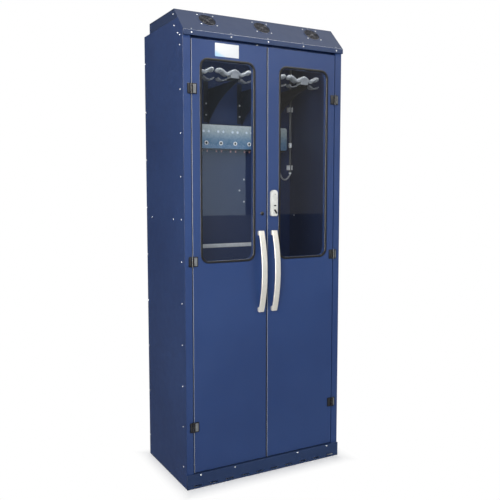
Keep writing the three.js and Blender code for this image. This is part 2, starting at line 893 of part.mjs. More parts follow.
// Bowed pull: an arc in side view with a foot at each end.
function doorHandle(side) {
  const length = handleTop - handleBottom;
  const rise = handleProud - handleEndProud;
  const radius = (length * length / 4 + rise * rise) / (2 * rise);
  const middle = (handleTop + handleBottom) / 2;
  const centre = -handleProud + radius;
  const inner = radius - handleThickness;
  const footAngle = Math.asin((length / 2 - handleFoot) / inner);
  const endAngle = Math.asin(length / 2 / radius);
  const shape = new THREE.Shape();
  shape.moveTo(-fit, handleBottom);
  shape.lineTo(-handleEndProud, handleBottom);
  shape.absarc(centre, middle, radius, Math.PI + endAngle, Math.PI - endAngle, true);
  shape.lineTo(-fit, handleTop);
  shape.lineTo(-fit, handleTop - handleFoot);
  shape.absarc(centre, middle, inner, Math.PI - footAngle, Math.PI + footAngle, false);
  shape.lineTo(-fit, handleBottom + handleFoot);
  shape.closePath();
  const offset = side * handleOffset;
  const xs = [offset - handleWidth / 2, offset + handleWidth / 2];
  return extrude(shape, 'x', xs, { bevel: handleBevel, curve: 6 });
}

// ---------------------------------------------------------------- hinges

// One leaf: a plate and a rolled barrel in one profile, notched for the other leaf's knuckles.
// Even knuckles belong to the frame and odd ones to the door.
function hingeLeafSolid(side, centre, onDoor) {
  const inward = onDoor ? -side : side;
  const half = hingeHeight / 2;
  const [low, high] = [centre - half, centre + half];
  const axis = [side * hingeX, hingeDepth];
  const leafWidth = onDoor ? doorLeafWidth : frameLeafWidth;
  const plate = block([axis[0], axis[0] + inward * leafWidth], [-fit - hingeLeaf, -fit], [low, high]);
  const barrel = rod(knuckleRadius, 'z', [low, high], axis, 8);
  const step = hingeHeight / knuckleCount;
  const reach = knuckleRadius + knuckleRoom;
  const notches = [];
  for (let index = onDoor ? 0 : 1; index < knuckleCount; index += 2) {
    const from = low + index * step - (index > 0 ? fit : 1);
    const to = low + (index + 1) * step + (index < knuckleCount - 1 ? fit : 1);
    notches.push(block([axis[0] - reach, axis[0] + reach], [hingeDepth - reach, 1], [from, to]));
  }
  const bore = rod(pinRadius + pinRoom, 'z', [low - 1, high + 1], axis, 6);
  const leaf = cut(join(plate, barrel), ...notches);
  return onDoor ? cut(leaf, bore) : leaf;
}

// Frame leaf with the pin that stays in its knuckles.
function frameLeaf(side, centre) {
  const half = hingeHeight / 2;
  const axis = [side * hingeX, hingeDepth];
  const shank = rod(pinRadius, 'z', [centre - half + 1, centre + half], axis, 6);
  const head = rod(2 * pinRadius, 'z', [centre + half - 1, centre + half + sheet], axis, 6);
  return join(hingeLeafSolid(side, centre, false), shank, head);
}

// ---------------------------------------------------------------- lock and bolt

function lockHousing() {
  const left = lockOffset - lockWidth / 2;
  const top = lockBottom + lockHeight;
  const outline = roundedBox(left, left + lockWidth, lockBottom, top, lockRadius, lockTopRadius);
  const body = extrude(outline, 'y', [-lockProud, -fit], { bevel: lockBevel });
  return cut(body, spindleHole([-lockProud - 1, 1]));
}

function spindleHole(depths) {
  return rod(spindleRadius + turnRoom, 'y', depths, [lockOffset, spindleHeight], 10);
}

// Knob, its grip bar and the spindle behind it.
function lockKnob() {
  const centre = [lockOffset, spindleHeight];
  const front = -lockProud - knobBase;
  const base = rod(knobRadius, 'y', [front, -lockProud - fit], centre, 16);
  const gripHalf = knobRadius - 1;
  const outline = roundedBox(
    lockOffset - spindleRadius,
    lockOffset + spindleRadius,
    spindleHeight - gripHalf,
    spindleHeight + gripHalf,
    spindleRadius - 0.1,
  );
  const grip = extrude(outline, 'y', [-lockProud - knobGrip, front + 1], { curve: 1 });
  const spindle = rod(spindleRadius, 'y', [front + 1, camDepth - fit], centre, 10);
  return join(base, grip, spindle);
}

// Latch arm on the spindle: hangs down when open, reaches behind the left door when turned.
function lockCam() {
  const low = spindleHeight - camLength;
  const hubRadius = 2 * spindleRadius + 1;
  const shape = new THREE.Shape();
  shape.absarc(lockOffset, spindleHeight, hubRadius, 0, Math.PI);
  shape.lineTo(lockOffset - hubRadius + 2, low + camThickness);
  shape.lineTo(lockOffset - spindleRadius, low);
  shape.lineTo(lockOffset + spindleRadius, low);
  shape.lineTo(lockOffset + hubRadius - 2, low + camThickness);
  shape.closePath();
  return extrude(shape, 'y', [camDepth, camDepth + camThickness], { curve: 4 });
}

// Striker on the inside of the left door, with its round cap on the outside.
function strikePlate() {
  const profile = [
    [0, 0],
    [capRadius, 0],
    [capRadius, 2],
    [capRadius - 2.5, capHeight],
    [0, capHeight + 0.6],
  ];
  const place = new THREE.Vector3(-capOffset, -fit, capLevel);
  const dome = solid(moved(turned(profile, 12), place, unitY.clone().negate()));
  const stem = rod(capStem, 'y', [-1, doorDepth + 1], [-capOffset, capLevel], 8);
  const plate = block(
    [-doorInner - strikeWidth - 1, -doorInner - 1],
    [doorDepth + fit, doorDepth + fit + strikeThickness],
    [capLevel - strikeBelow, capLevel + strikeAbove],
  );
  return join(dome, stem, plate);
}

// Rod that slides up through the header, with a finger stub inside the door.
function topBolt() {
  const shaft = rod(boltRadius, 'z', [boltLow, boltTip], [-boltOffset, doorDepth / 2], 10);
  const stubRadius = boltRadius - boltRoom;
  const stub = rod(stubRadius, 'y', [doorDepth / 2, doorDepth + boltStubReach], [-boltOffset, boltStub], 8);
  return join(shaft, stub);
}

function capHole(depths) {
  return rod(capStem + boltRoom, 'y', depths, [-capOffset, capLevel], 8);
}

// The bolt's guides on the liner, its finger slot, and the hole for the cap's stem.
function leftDoorExtras(liner) {
  const back = linerBack - sheet;
  const guideHalf = 2 * boltRadius;
  const guides = guideRises.map((rise) => block(
    [-boltOffset - guideHalf, -boltOffset + guideHalf],
    [doorDepth / 2 - guideHalf + 1, back + 0.2],
    [boltLow + rise, boltLow + rise + guideHeight],
  ));
  const bore = rod(boltRadius + boltRoom, 'z', [boltLow, boltTip], [-boltOffset, doorDepth / 2], 10);
  const slotHalf = boltRadius + boltRoom;
  const slot = block(
    [-boltOffset - slotHalf, -boltOffset + slotHalf],
    [back - 1, doorDepth + 1],
    [boltStub - slotHalf, boltStub + slotHalf + boltTravel],
  );
  return cut(join(liner, cut(join(...guides), bore)), slot, capHole([back - 1, doorDepth + 1]));
}

// ---------------------------------------------------------------- hangers

// Gusset bracket: web with a hollow curved edge, wall flange and a seat for the hanger.
function hangerBracket(centre) {
  const rear = wallFace - fit;
  const nose = rear - bracketReach;
  const top = hangerSeat - bracketSheet;
  const shape = new THREE.Shape();
  shape.moveTo(rear, bracketBottom);
  shape.lineTo(rear, top + 1);
  shape.lineTo(nose, top + 1);
  shape.lineTo(nose, top - bracketNose);
  shape.quadraticCurveTo(
    rear - 0.36 * bracketReach,
    bracketBottom + 0.68 * bracketDrop,
    rear - bracketFoot,
    bracketBottom,
  );
  shape.closePath();
  const web = centre + webOffset;
  const webSolid = extrude(shape, 'x', [web - bracketSheet / 2, web + bracketSheet / 2], { curve: 7 });
  const flange = block(
    [web - bracketFlange, web + bracketSheet / 2],
    [rear - bracketSheet, rear],
    [bracketBottom + bracketFoot, bracketTop],
  );
  const seatRear = nose + hangerReach + bracketFoot;
  const seat = block([centre - seatHalf, centre + seatHalf], [nose, seatRear], [top, hangerSeat]);
  return join(webSolid, flange, seat);
}

// Moulded hanger: a wavy bar with round tips, a pedestal, and a lip under each tip.
function scopeHanger(centre) {
  const front = wallFace - fit - bracketReach - 4;
  const rear = front + hangerReach;
  const inset = hangerReach / 10;
  const tips = [-1, 1].map((side) => {
    const ball = new THREE.SphereGeometry(hangerTip, 8, 5);
    ball.scale(1, hangerReach / 2 / hangerTip, 0.95);
    ball.translate(centre + side * (hangerHalfSpan + 2), (front + rear) / 2, hangerCrest - 1);
    return solid(ball);
  });
  const pedestal = block(
    [centre - pedestalHalf, centre + pedestalHalf],
    [front + inset, rear - inset],
    [hangerSeat + fit, hangerCrest],
  );
  const lips = [-1, 1].map((side) => {
    const outline = hangerLip(centre, side);
    return extrude(outline, 'y', [front + 1.5 * inset, rear - 1.5 * inset]);
  });
  const bar = extrude(hangerWave(centre), 'y', [front + inset, rear - inset], { bevel: 3 });
  return join(bar, ...tips, pedestal, ...lips);
}

// Outline of the wavy bar: one full wave on each side of its centre.
function hangerWave(centre) {
  const steps = 10;
  const upper = [];
  for (let step = 0; step <= steps; step += 1) {
    const x = hangerHalfSpan * (1 - 2 * step / steps);
    const wave = hangerSwell * (Math.cos(2 * Math.PI * x / hangerHalfSpan) - 1);
    upper.push([centre + x, hangerCrest + wave + hangerBar / 2]);
  }
  const lower = upper.map(([x, z]) => [x, z - hangerBar]).reverse();
  return [...lower, ...upper];
}

// Thin lip that dips below the seat and turns up under the tip.
function hangerLip(centre, side) {
  const top = hangerSeat + lipSheet - 1;
  const dip = hangerSeat - lipDip;
  const end = hangerHalfSpan + hangerTip - 1;
  const points = [
    [pedestalHalf - 2, top],
    [pedestalHalf * 1.9, top - 2],
    [pedestalHalf * 2.15, dip],
    [end - lipDip, dip],
    [end, hangerSeat],
    [end - 4, dip - lipSheet],
    [pedestalHalf * 2, dip - lipSheet],
    [seatHalf + 4, hangerSeat + 2 * fit],
    [pedestalHalf - 2, hangerSeat + 2 * fit],
  ].map(([x, z]) => [centre + side * x, z]);
  return side > 0 ? points.reverse() : points;
}

// ---------------------------------------------------------------- manifold and air line

function spread(count, pitch) {
  return Array.from({ length: count }, (_, index) => (index - (count - 1) / 2) * pitch);
}

function stationPlaces() {
  return spread(stationCount, stationPitch);
}

function manifoldBody() {
  const front = manifoldFaceDepth + manifoldPlate + fit;
  const half = manifoldHalf - manifoldRadius / 2;
  const top = manifoldBottom + manifoldHeight + 2 * sheet;
  const outline = roundedBox(-half, half, underside, top, manifoldRadius);
  const body = extrude(outline, 'y', [front, manifoldRear], { curve: 1 });
  return join(body, outletNipples());
}

function manifoldFace() {
  const top = manifoldBottom + manifoldHeight;
  const outline = roundedBox(-manifoldHalf, manifoldHalf, manifoldBottom, top, manifoldRadius);
  const plate = extrude(outline, 'y', [manifoldFaceDepth, manifoldFaceDepth + manifoldPlate]);
  const back = manifoldFaceDepth + manifoldPlate;
  const profile = [
    [0, 0],
    [portRadius, 0],
    [portRadius, portProud - 2],
    [portRadius - 1.4, portProud],
    [0, portProud],
  ];
  const boss = turned(profile, portSides);
  const facing = unitY.clone().negate();
  const bosses = stationPlaces().map((x) => {
    const place = new THREE.Vector3(x, manifoldFaceDepth + 1, manifoldBottom + portRise);
    return solid(moved(boss, place, facing));
  });
  const bores = stationPlaces().map((x) => rod(
    portBore,
    'y',
    [manifoldFaceDepth - portProud - 1, back + 1],
    [x, manifoldBottom + portRise],
    portSides,
  ));
  return cut(join(plate, ...bosses), ...bores);
}

function outletNipples() {
  const profile = [[0, 0], [outletRadius, 0], [outletRadius - 1.3, outletLength], [0, outletLength]];
  const nipple = turned(profile, 6);
  const down = unitZ.clone().negate();
  const places = stationPlaces().flatMap((x) => [x - outletSpread, x + outletSpread]);
  return join(...places.map((x) => {
    const place = new THREE.Vector3(x, outletDepth, underside + 1);
    return solid(moved(nipple, place, down));
  }));
}

// The hose hangs in a loop from the manifold's underside to the foot of the riser:
// share of the way across, and drop below the manifold.
const hoseDrops = [
  [0, fit],
  [0, 15],
  [0, 45],
  [0.011, 78],
  [0.045, 108],
  [0.136, 134],
  [0.295, 154],
  [0.5, 162],
  [0.705, 157],
  [0.875, 144],
  [0.983, tubeDrop + 16],
  [1, tubeDrop + 7],
  [1, tubeDrop + fit],
];

function hoseRoute() {
  return hoseDrops.map(([share, drop]) => [
    hoseX + share * hoseSpan,
    outletDepth + share * (tubeDepth - outletDepth),
    underside - drop,
  ]);
}

function sweep(points, radius, steps, sides) {
  const places = points.map(([x, y, z]) => new THREE.Vector3(x, y, z));
  const path = new THREE.CatmullRomCurve3(places, false, 'centripetal');
  const section = [];
  for (let index = 0; index < sides; index += 1) {
    const angle = index * 2 * Math.PI / sides;
    section.push([radius * Math.cos(angle), radius * Math.sin(angle)]);
  }
  return new THREE.ExtrudeGeometry(polygon(section), { steps, extrudePath: path, bevelEnabled: false });
}

// Riser from the hose to the air filter over the ceiling, bent over at its top.
function riserTube() {
  const bendStart = tubeTop - tubeBend;
  const straight = rod(tubeRadius, 'z', [tubeBottom, bendStart + 0.5], [tubeX, tubeDepth], 10);
  const bend = new THREE.QuadraticBezierCurve3(
    new THREE.Vector3(tubeX, tubeDepth, bendStart),
    new THREE.Vector3(tubeX, tubeDepth, tubeTop),
    new THREE.Vector3(filterRight + fit, tubeDepth, tubeTop),
  );
  const section = circle(tubeRadius);
  const elbow = new THREE.ExtrudeGeometry(section, { steps: 6, extrudePath: bend, curveSegments: 5 });
  return join(straight, solid(elbow));
}

// H-shaped clip: two cheeks beside the tube and a bridge behind it.
function tubeClip(height) {
  const grip = tubeRadius + fit;
  const rear = wallFace - fit;
  const cheeks = [-1, 1].map((side) => block(
    [tubeX + side * grip, tubeX + side * (grip + clipSheet)],
    [tubeDepth - grip - clipSheet, rear],
    [height - clipHeight / 2, height + clipHeight / 2],
  ));
  const bridge = block(
    [tubeX - grip - 1, tubeX + grip + 1],
    [tubeDepth + grip, rear],
    [height - clipHeight / 6, height + clipHeight / 6],
  );
  return join(...cheeks, bridge);
}

// Pump on the ceiling panel with cooling ribs and a round motor end.
function airPump() {
  const left = pumpRight - pumpLength;
  const bottom = ceilingLevel + sheet + fit;
  const rear = tubeDepth + pumpRear;
  const front = tubeDepth - pumpFront;
  const outline = roundedBox(front, rear, bottom, bottom + pumpHeight, filterNeck);
  const body = extrude(outline, 'x', [left + motorLength - 10, pumpRight - 8], { curve: 1 });
  const motorAxis = [tubeDepth - motorShift, bottom + pumpHeight / 2];
  const motor = rod(motorRadius, 'x', [left, left + motorLength], motorAxis, 14);
  const ribs = [];
  for (let index = 0; index < pumpRibs; index += 1) {
    const x = left + pumpRibStart + index * pumpRibPitch;
    const levels = [bottom + pumpRibProud, bottom + pumpHeight + pumpRibProud];
    ribs.push(block([x, x + 2 * sheet], [front - pumpRibProud, rear], levels));
  }
  const outlet = rod(filterNeck, 'x', [pumpRight - 9, pumpRight - fit], [tubeDepth, tubeTop], 8);
  return join(body, motor, ...ribs, outlet);
}

function airFilter() {
  const end = filterNeck + sheet;
  const profile = [
    [0, 0],
    [filterNeck, 0],
    [filterNeck, filterShoulder - 4],
    [filterRadius, filterShoulder],
    [filterRadius, filterLength - filterShoulder],
    [end, filterLength - filterShoulder + 4],
    [end, filterLength],
    [0, filterLength],
  ];
  return solid(moved(turned(profile, 14), new THREE.Vector3(pumpRight, tubeDepth, tubeTop), unitX));
}

// Mains inlet in the back panel, its pins inside a socket open to the rear.
function powerInlet() {
  const shellHalf = inletHalfWidth + inletWall;
  const shellRise = inletHalfHeight + inletWall;
  const outline = roundedBox(
    -inletX - inletRimHalf,
    -inletX + inletRimHalf,
    inletZ - inletRimRise,
    inletZ + inletRimRise,
    4,
  );
  const rim = extrude(outline, 'y', [backFace + fit, backFace + inletWall]);
  const shell = block(
    [-inletX - shellHalf, -inletX + shellHalf],
    [backFace - inletDepth, backFace + 1],
    [inletZ - shellRise, inletZ + shellRise],
  );
  const room = block(
    [-inletX - inletHalfWidth, -inletX + inletHalfWidth],
    [backFace - inletDepth + 8, backFace + inletWall + 1],
    [inletZ - inletHalfHeight, inletZ + inletHalfHeight],
  );
  const pins = [-1, 0, 1].map((place) => {
    const level = inletZ + (place === 0 ? 3 : 0);
    const x = -inletX + place * inletPinPitch;
    return block([x - 1, x + 1], [backFace - inletDepth + 7, backFace - 1], [level - 2, level + 2]);
  });
  return join(cut(join(rim, shell), room), ...pins);
}

// Shallow tray on the inner floor that catches drips.
function dripTray() {
  const bottom = floorLevel + fit;
  const depths = [trayFrontInset, wallFace - trayRearInset];
  return pan(halfWidth - traySideInset, depths, bottom, bottom + trayHeight);
}

// ---------------------------------------------------------------- assembly

const body = new THREE.Group();
model.add(body);
addPart(body, 'left_side_panel', sidePanel(-1), 'bluePaint');
addPart(body, 'right_side_panel', sidePanel(1), 'bluePaint');
addPart(body, 'left_door_post', doorPost(-1), 'bluePaint');
addPart(body, 'right_door_post', doorPost(1), 'bluePaint');
addPart(body, 'front_header', frontHeader(), 'bluePaint');
addPart(body, 'back_panel', backPanel(), 'bluePaint');
addPart(body, 'ceiling_panel', ceilingPanel(), 'bluePaint');
addPart(body, 'floor_panel', basePan(), 'bluePaint');
addPart(body, 'kick_panel', kickPanel(), 'bluePaint');
addPart(body, 'door_seal', doorSeal(), 'rubber');
addPart(body, 'hood_shell', hoodShell(), 'bluePaint');
addPart(body, 'manifold_body', manifoldBody(), 'blackPaint');
addPart(body, 'manifold_face', manifoldFace(), 'panelBlue');
addPart(body, 'air_hose', solid(sweep(hoseRoute(), hoseRadius, 26, 8)), 'rubber');
addPart(body, 'riser_tube', riserTube(), 'silverPlastic');
clipRises.forEach((rise, index) => {
  addPart(body, `tube_clip_${index + 1}`, tubeClip(tubeBottom + rise), 'whitePlastic');
});
addPart(body, 'air_pump', airPump(), 'zincSteel');
addPart(body, 'air_filter', airFilter(), 'filterPaper');
addPart(body, 'power_inlet', powerInlet(), 'blackPlastic');
addPart(body, 'drip_tray', dripTray(), 'satinSteel');

spread(hangerCount, hangerPitch).forEach((centre, index) => {
  addPart(body, `hanger_bracket_${index + 1}`, hangerBracket(centre), 'blackPaint');
  addPart(body, `scope_hanger_${index + 1}`, scopeHanger(centre), 'whitePlastic');
});

[-1, 0, 1].forEach((index) => {
  const fan = new THREE.Group();
  fan.position.copy(fanCentre(index));
  fan.rotation.x = slopeAngle;
  addPart(fan, `fan_frame_${index + 2}`, fanFrame(), 'blackPlastic');
  addPart(fan, `fan_rotor_${index + 2}`, fanRotor(), 'blackPlastic');
  body.add(fan);
});

function doorPanel(side) {
  if (side > 0) {
    return cut(join(doorPan(side), doorLiner(side)), spindleHole([-1, doorDepth + 1]));
  }
  const holeLimits = [doorTop - 2 * sheet, doorTop + 1];
  const boltHole = rod(boltRadius + boltRoom, 'z', holeLimits, [-boltOffset, doorDepth / 2], 10);
  const tray = cut(doorPan(side), capHole([-1, 2 * sheet]), boltHole);
  return join(tray, leftDoorExtras(doorLiner(side)));
}

function addDoor(side, name) {
  const door = new THREE.Group();
  addPart(door, `${name}_door_panel`, doorPanel(side), 'bluePaint');
  addPart(door, `${name}_window_pane`, windowPane(side), 'pane');
  addPart(door, `${name}_window_gasket`, windowGasket(side), 'rubber');
  hingeHeights.forEach((height, index) => {
    const number = index + 1;
    addPart(door, `${name}_hinge_door_leaf_${number}`, hingeLeafSolid(side, height, true), 'blackPlastic');
    addPart(body, `${name}_hinge_frame_leaf_${number}`, frameLeaf(side, height), 'blackPlastic');
  });
  addPart(door, `${name}_handle`, doorHandle(side), 'satinSteel');
  model.add(door);
  return door;
}

const leftDoor = addDoor(-1, 'left');
addPart(leftDoor, 'strike_plate', strikePlate(), 'blackPlastic');
addPart(leftDoor, 'top_bolt', topBolt(), 'zincSteel');

const rightDoor = addDoor(1, 'right');
addPart(rightDoor, 'lock_housing', lockHousing(), 'silverPlastic');
addPart(rightDoor, 'lock_knob', lockKnob(), 'blackPlastic');
addPart(rightDoor, 'lock_cam', lockCam(), 'zincSteel');

// Centre the bounding box: the handles reach furthest forward, the side sheets furthest back.
model.position.y = (handleProud - cabinetDepth) / 2;

export default model;
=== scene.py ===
import math

import bmesh
import bpy
from mathutils import Matrix, Vector


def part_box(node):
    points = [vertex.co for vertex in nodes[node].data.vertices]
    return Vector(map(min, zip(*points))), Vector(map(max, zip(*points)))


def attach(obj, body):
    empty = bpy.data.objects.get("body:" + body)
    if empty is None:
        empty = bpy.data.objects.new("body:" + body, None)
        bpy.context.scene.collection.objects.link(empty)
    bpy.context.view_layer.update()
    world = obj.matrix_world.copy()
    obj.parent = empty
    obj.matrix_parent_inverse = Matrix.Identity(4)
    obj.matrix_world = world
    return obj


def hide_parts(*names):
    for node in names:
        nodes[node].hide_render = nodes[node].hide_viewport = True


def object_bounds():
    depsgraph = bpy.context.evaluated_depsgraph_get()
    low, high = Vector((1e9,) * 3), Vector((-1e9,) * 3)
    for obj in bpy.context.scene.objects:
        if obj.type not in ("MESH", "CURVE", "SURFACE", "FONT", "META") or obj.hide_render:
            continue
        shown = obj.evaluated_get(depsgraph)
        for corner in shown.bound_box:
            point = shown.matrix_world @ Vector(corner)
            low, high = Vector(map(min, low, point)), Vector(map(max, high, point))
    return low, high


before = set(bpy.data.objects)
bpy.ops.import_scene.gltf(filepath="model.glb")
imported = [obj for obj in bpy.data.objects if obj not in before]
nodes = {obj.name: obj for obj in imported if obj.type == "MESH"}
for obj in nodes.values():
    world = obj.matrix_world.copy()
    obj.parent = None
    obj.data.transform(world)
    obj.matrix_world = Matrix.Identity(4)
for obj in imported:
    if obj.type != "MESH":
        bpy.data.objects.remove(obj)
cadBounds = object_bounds()
print("frame loaded:", len(nodes), "nodes")

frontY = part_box("left_door_post")[0].y  # face of the body; depths count from here
sides = {"left": -1, "right": 1}
overlap = 0.001  # how far one shape of a piece reaches into the next


def at(x, depth, z):
    return Vector((x, frontY + depth, z))


def facing(place, normal):
    turn = Vector(normal).to_track_quat("Z", "Y").to_matrix().to_4x4()
    return Matrix.Translation(place) @ turn


def onFront(x, depth, z):
    # a place that looks to the front, for what is drawn with its axis along z
    return facing(at(x, depth, z), (0, -1, 0))


def depthsOf(nodeName):
    # how far behind the body's face a node starts and ends
    low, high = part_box(nodeName)
    return low.y - frontY, high.y - frontY


def middleX(nodeName):
    low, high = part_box(nodeName)
    return (low.x + high.x) / 2


wallDepth = depthsOf("manifold_body")[1] + 0.0003  # the chamber's rear wall


def addObject(name, data):
    thing = bpy.data.objects.new(name, data)
    bpy.context.collection.objects.link(thing)
    return thing


def looseMesh(bm, name="loose"):
    mesh = bpy.data.meshes.new(name)
    bm.to_mesh(mesh)
    bm.free()
    return mesh


def sheet(matrix):
    # a flat face of unit size, brought to its place by the matrix
    bm = bmesh.new()
    bmesh.ops.create_grid(bm, x_segments=1, y_segments=1, size=0.5, matrix=matrix)
    return bm


# the photo's camera, fitted to the edges of body, doors, windows and hood
camera = {"place": (-1.675, -3.094, 1.477), "lens": 46.64, "yaw": 28.865, "pitch": 5.185}


def addCamera():
    data = bpy.data.cameras.new("photoCamera")
    data.lens = camera["lens"]
    data.clip_end = 100
    holder = addObject("photoCamera", data)
    holder.location = camera["place"]
    turn = (90 - camera["pitch"], 0, -camera["yaw"])
    holder.rotation_euler = [math.radians(angle) for angle in turn]
    bpy.context.scene.camera = holder


def setInputs(tree, node, inputs):
    # a number or colour is written into its socket, another node's output is linked to it
    for key, value in inputs.items():
        if isinstance(value, bpy.types.NodeSocket):
            tree.links.new(value, node.inputs[key])
        else:
            node.inputs[key].default_value = value
    return node


def addNode(tree, kind, inputs, **settings):
    node = tree.nodes.new(kind)
    for key, value in settings.items():
        setattr(node, key, value)
    return setInputs(tree, node, inputs)


def compute(tree, operation, *values):
    return addNode(tree, "ShaderNodeMath", dict(enumerate(values)), operation=operation).outputs[0]


def largest(tree, values):
    result = values[0]
    for value in values[1:]:
        result = compute(tree, "MAXIMUM", result, value)
    return result


def objectAxes(tree):
    place = addNode(tree, "ShaderNodeTexCoord", {}).outputs["Object"]
    return addNode(tree, "ShaderNodeSeparateXYZ", {0: place}).outputs


def mapTo(tree, value, low, high, start=0.3, end=0.7, **settings):
    inputs = {"Value": value, "From Min": start, "From Max": end, "To Min": low, "To Max": high}
    return addNode(tree, "ShaderNodeMapRange", inputs, **settings).outputs[0]


def lightRays(tree, *kinds):
    # 1 for rays of these kinds, 0 for all others
    path = addNode(tree, "ShaderNodeLightPath", {})
    return largest(tree, [path.outputs[f"Is {kind} Ray"] for kind in kinds])


def mixShaders(tree, share, first, second):
    return addNode(tree, "ShaderNodeMixShader", {0: share, 1: first, 2: second}).outputs[0]


def glow(tree, strength, colour=(1, 1, 1)):
    inputs = {"Color": (*colour, 1), "Strength": strength}
    return addNode(tree, "ShaderNodeEmission", inputs).outputs[0]


def emptyTree(holder):
    holder.use_nodes = True
    holder.node_tree.nodes.clear()
    return holder.node_tree


studio = {
    "ambient": 0.24,
    "floorSize": 60,
    "shadowFrom": -0.06,  # distance from the cabinet's foot where the floor starts to whiten
    "shadowTo": 0.08,
    "floorGloss": 0.1,  # how bright the floor looks in gloss and glass
    "wallRadius": 7.0,
    "wallHeight": 5.0,
    "wallGlow": 0.07,
    "clearFrom": -1.0,  # behind this y, glass shows the floor and walls as white
}
# flat glowing cards that gloss and glass pick up: low corner, high corner, colour, strength
cards = {
    "leftHighCard": [(0.2, -3.1, 1.93), (1.62, -3.1, 4), (0.8, 0.9, 1), 0.26],
    "leftPaneCard": [(0.2, -3.1, 1.24), (1.43, -3.1, 1.93), (0.68, 0.83, 1), 1.1],
    "leftLowCard": [(0.2, -3.1, 0.02), (1.62, -3.1, 1.24), (0.8, 0.86, 1), 0.3],
    "rightPaneCard": [(1.62, -3.1, 1.24), (4, -3.1, 4), (1, 0.95, 0.82), 0.26],
    "edgeCard": [(-4.6, -3.2, 0.1), (-4.6, -0.7, 4.4), (1, 0.97, 0.9), 27],
    "eaveCard": [(0.6, -4, 4.9), (3.4, -1.8, 4.9), (1, 0.95, 0.86), 15],
}
lamps = {
    "keyLamp": {"place": (-2.5, -3.0, 2.75), "aim": (0, 0, 1.8), "size": 2.0, "power": 150},
    "fillLamp": {"place": (2.8, -3.4, 2.5), "aim": (0, 0, 1.7), "size": 2.0, "power": 60},
    "rearLamp": {"place": (1.8, 4.2, 3.8), "aim": (0, 0, 1.3), "size": 3.0, "power": 90},
    "hangerLamp": {"place": (0, -0.1, 2.214), "aim": (0, -0.06, 2), "size": (0.78, 0.05), "power": 1.3},
}


def makeWorld():
    world = bpy.data.worlds.new("studioWorld")
    bpy.context.scene.world = world
    tree = emptyTree(world)
    dim = {"Color": (0.96, 0.98, 1, 1), "Strength": studio["ambient"]}
    room = addNode(tree, "ShaderNodeBackground", dim).outputs[0]
    white = addNode(tree, "ShaderNodeBackground", {"Color": (1, 1, 1, 1), "Strength": 1}).outputs[0]
    seen = lightRays(tree, "Camera", "Glossy", "Transmission")
    addNode(tree, "ShaderNodeOutputWorld", {0: mixShaders(tree, seen, room, white)})


def addStage(name, bm, material, glossOnly=False):
    mesh = looseMesh(bm, name)
    mesh.materials.append(material)
    thing = addObject(name, mesh)
    if glossOnly:
        thing.visible_camera = False
        thing.visible_diffuse = False
        thing.visible_shadow = False


def floorWhiteness(tree):
    # grows with the distance from the cabinet's foot, so that its shadow stays at its base
    place = objectAxes(tree)
    past = [
        compute(tree, "SUBTRACT", compute(tree, "ABSOLUTE", place[axis]), cadBounds[1][axis])
        for axis in range(2)
    ]
    start, end = studio["shadowFrom"], studio["shadowTo"]
    return mapTo(tree, largest(tree, past), 0, 1, start, end, interpolation_type="SMOOTHSTEP")


def seenThroughGlass(tree, dim):
    # glow strength: full for what glass shows from behind it, dim for what it reflects
    behind = compute(tree, "GREATER_THAN", objectAxes(tree)["Y"], studio["clearFrom"])
    both = compute(tree, "MULTIPLY", behind, lightRays(tree, "Transmission"))
    return compute(tree, "MULTIPLY_ADD", both, 1 - dim, dim)


def makeFloor():
    material = bpy.data.materials.new("studioFloor")
    tree = emptyTree(material)
    matt = addNode(tree, "ShaderNodeBsdfDiffuse", {"Color": (0.92, 0.92, 0.92, 1)}).outputs[0]
    seen = mixShaders(tree, floorWhiteness(tree), matt, glow(tree, 1))
    lit = mixShaders(tree, lightRays(tree, "Camera"), matt, seen)
    dim = glow(tree, seenThroughGlass(tree, studio["floorGloss"]))
    surface = mixShaders(tree, lightRays(tree, "Glossy", "Transmission"), lit, dim)
    addNode(tree, "ShaderNodeOutputMaterial", {0: surface})
    size = studio["floorSize"]
    addStage("studioFloor", sheet(Matrix.Diagonal((size, size, 1, 1))), material)


def glowMaterial(name, strength, colour=(1, 1, 1), clearBehind=False):
    material = bpy.data.materials.new(name)
    tree = emptyTree(material)
    if clearBehind:
        strength = seenThroughGlass(tree, strength)
    addNode(tree, "ShaderNodeOutputMaterial", {0: glow(tree, strength, colour)})
    return material


def makeReflectors():
    # dim studio walls and the glowing cards, which only gloss and glass pick up
    radius, height = studio["wallRadius"], studio["wallHeight"]
    bm = bmesh.new()
    bmesh.ops.create_cone(
        bm, cap_ends=False, segments=48, radius1=radius, radius2=radius, depth=height,
        matrix=Matrix.Translation((0, 0, height / 2)),
    )
    addStage("studioWalls", bm, glowMaterial("wallGlow", studio["wallGlow"], clearBehind=True), True)
    for name, (low, high, colour, strength) in cards.items():
        low, high = Vector(low), Vector(high)
        span = high - low
        flat = min(range(3), key=lambda axis: abs(span[axis]))
        turn = Matrix.Rotation(math.pi / 2, 4, "X") if flat < 2 else Matrix.Identity(4)
        if flat == 0:
            turn = Matrix.Rotation(math.pi / 2, 4, "Z") @ turn
        size = Matrix.Diagonal((*[abs(span[axis]) for axis in range(3) if axis != flat], 1, 1))
        bm = sheet(Matrix.Translation((low + high) / 2) @ turn @ size)
        addStage(name, bm, glowMaterial(name, strength, colour), True)


def makeLamps():
    for name, facts in lamps.items():
        data = bpy.data.lights.new(name, "AREA")
        if isinstance(facts["size"], tuple):
            data.shape = "RECTANGLE"
            data.size, data.size_y = facts["size"]
        else:
            data.size = facts["size"]
        data.energy = facts["power"]
        lamp = addObject(name, data)
        lamp.location = facts["place"]
        aim = Vector(facts["aim"]) - Vector(facts["place"])
        lamp.rotation_euler = aim.to_track_quat("-Z", "Y").to_euler()
        lamp.visible_camera = False
        lamp.visible_glossy = False
        lamp.visible_transmission = False


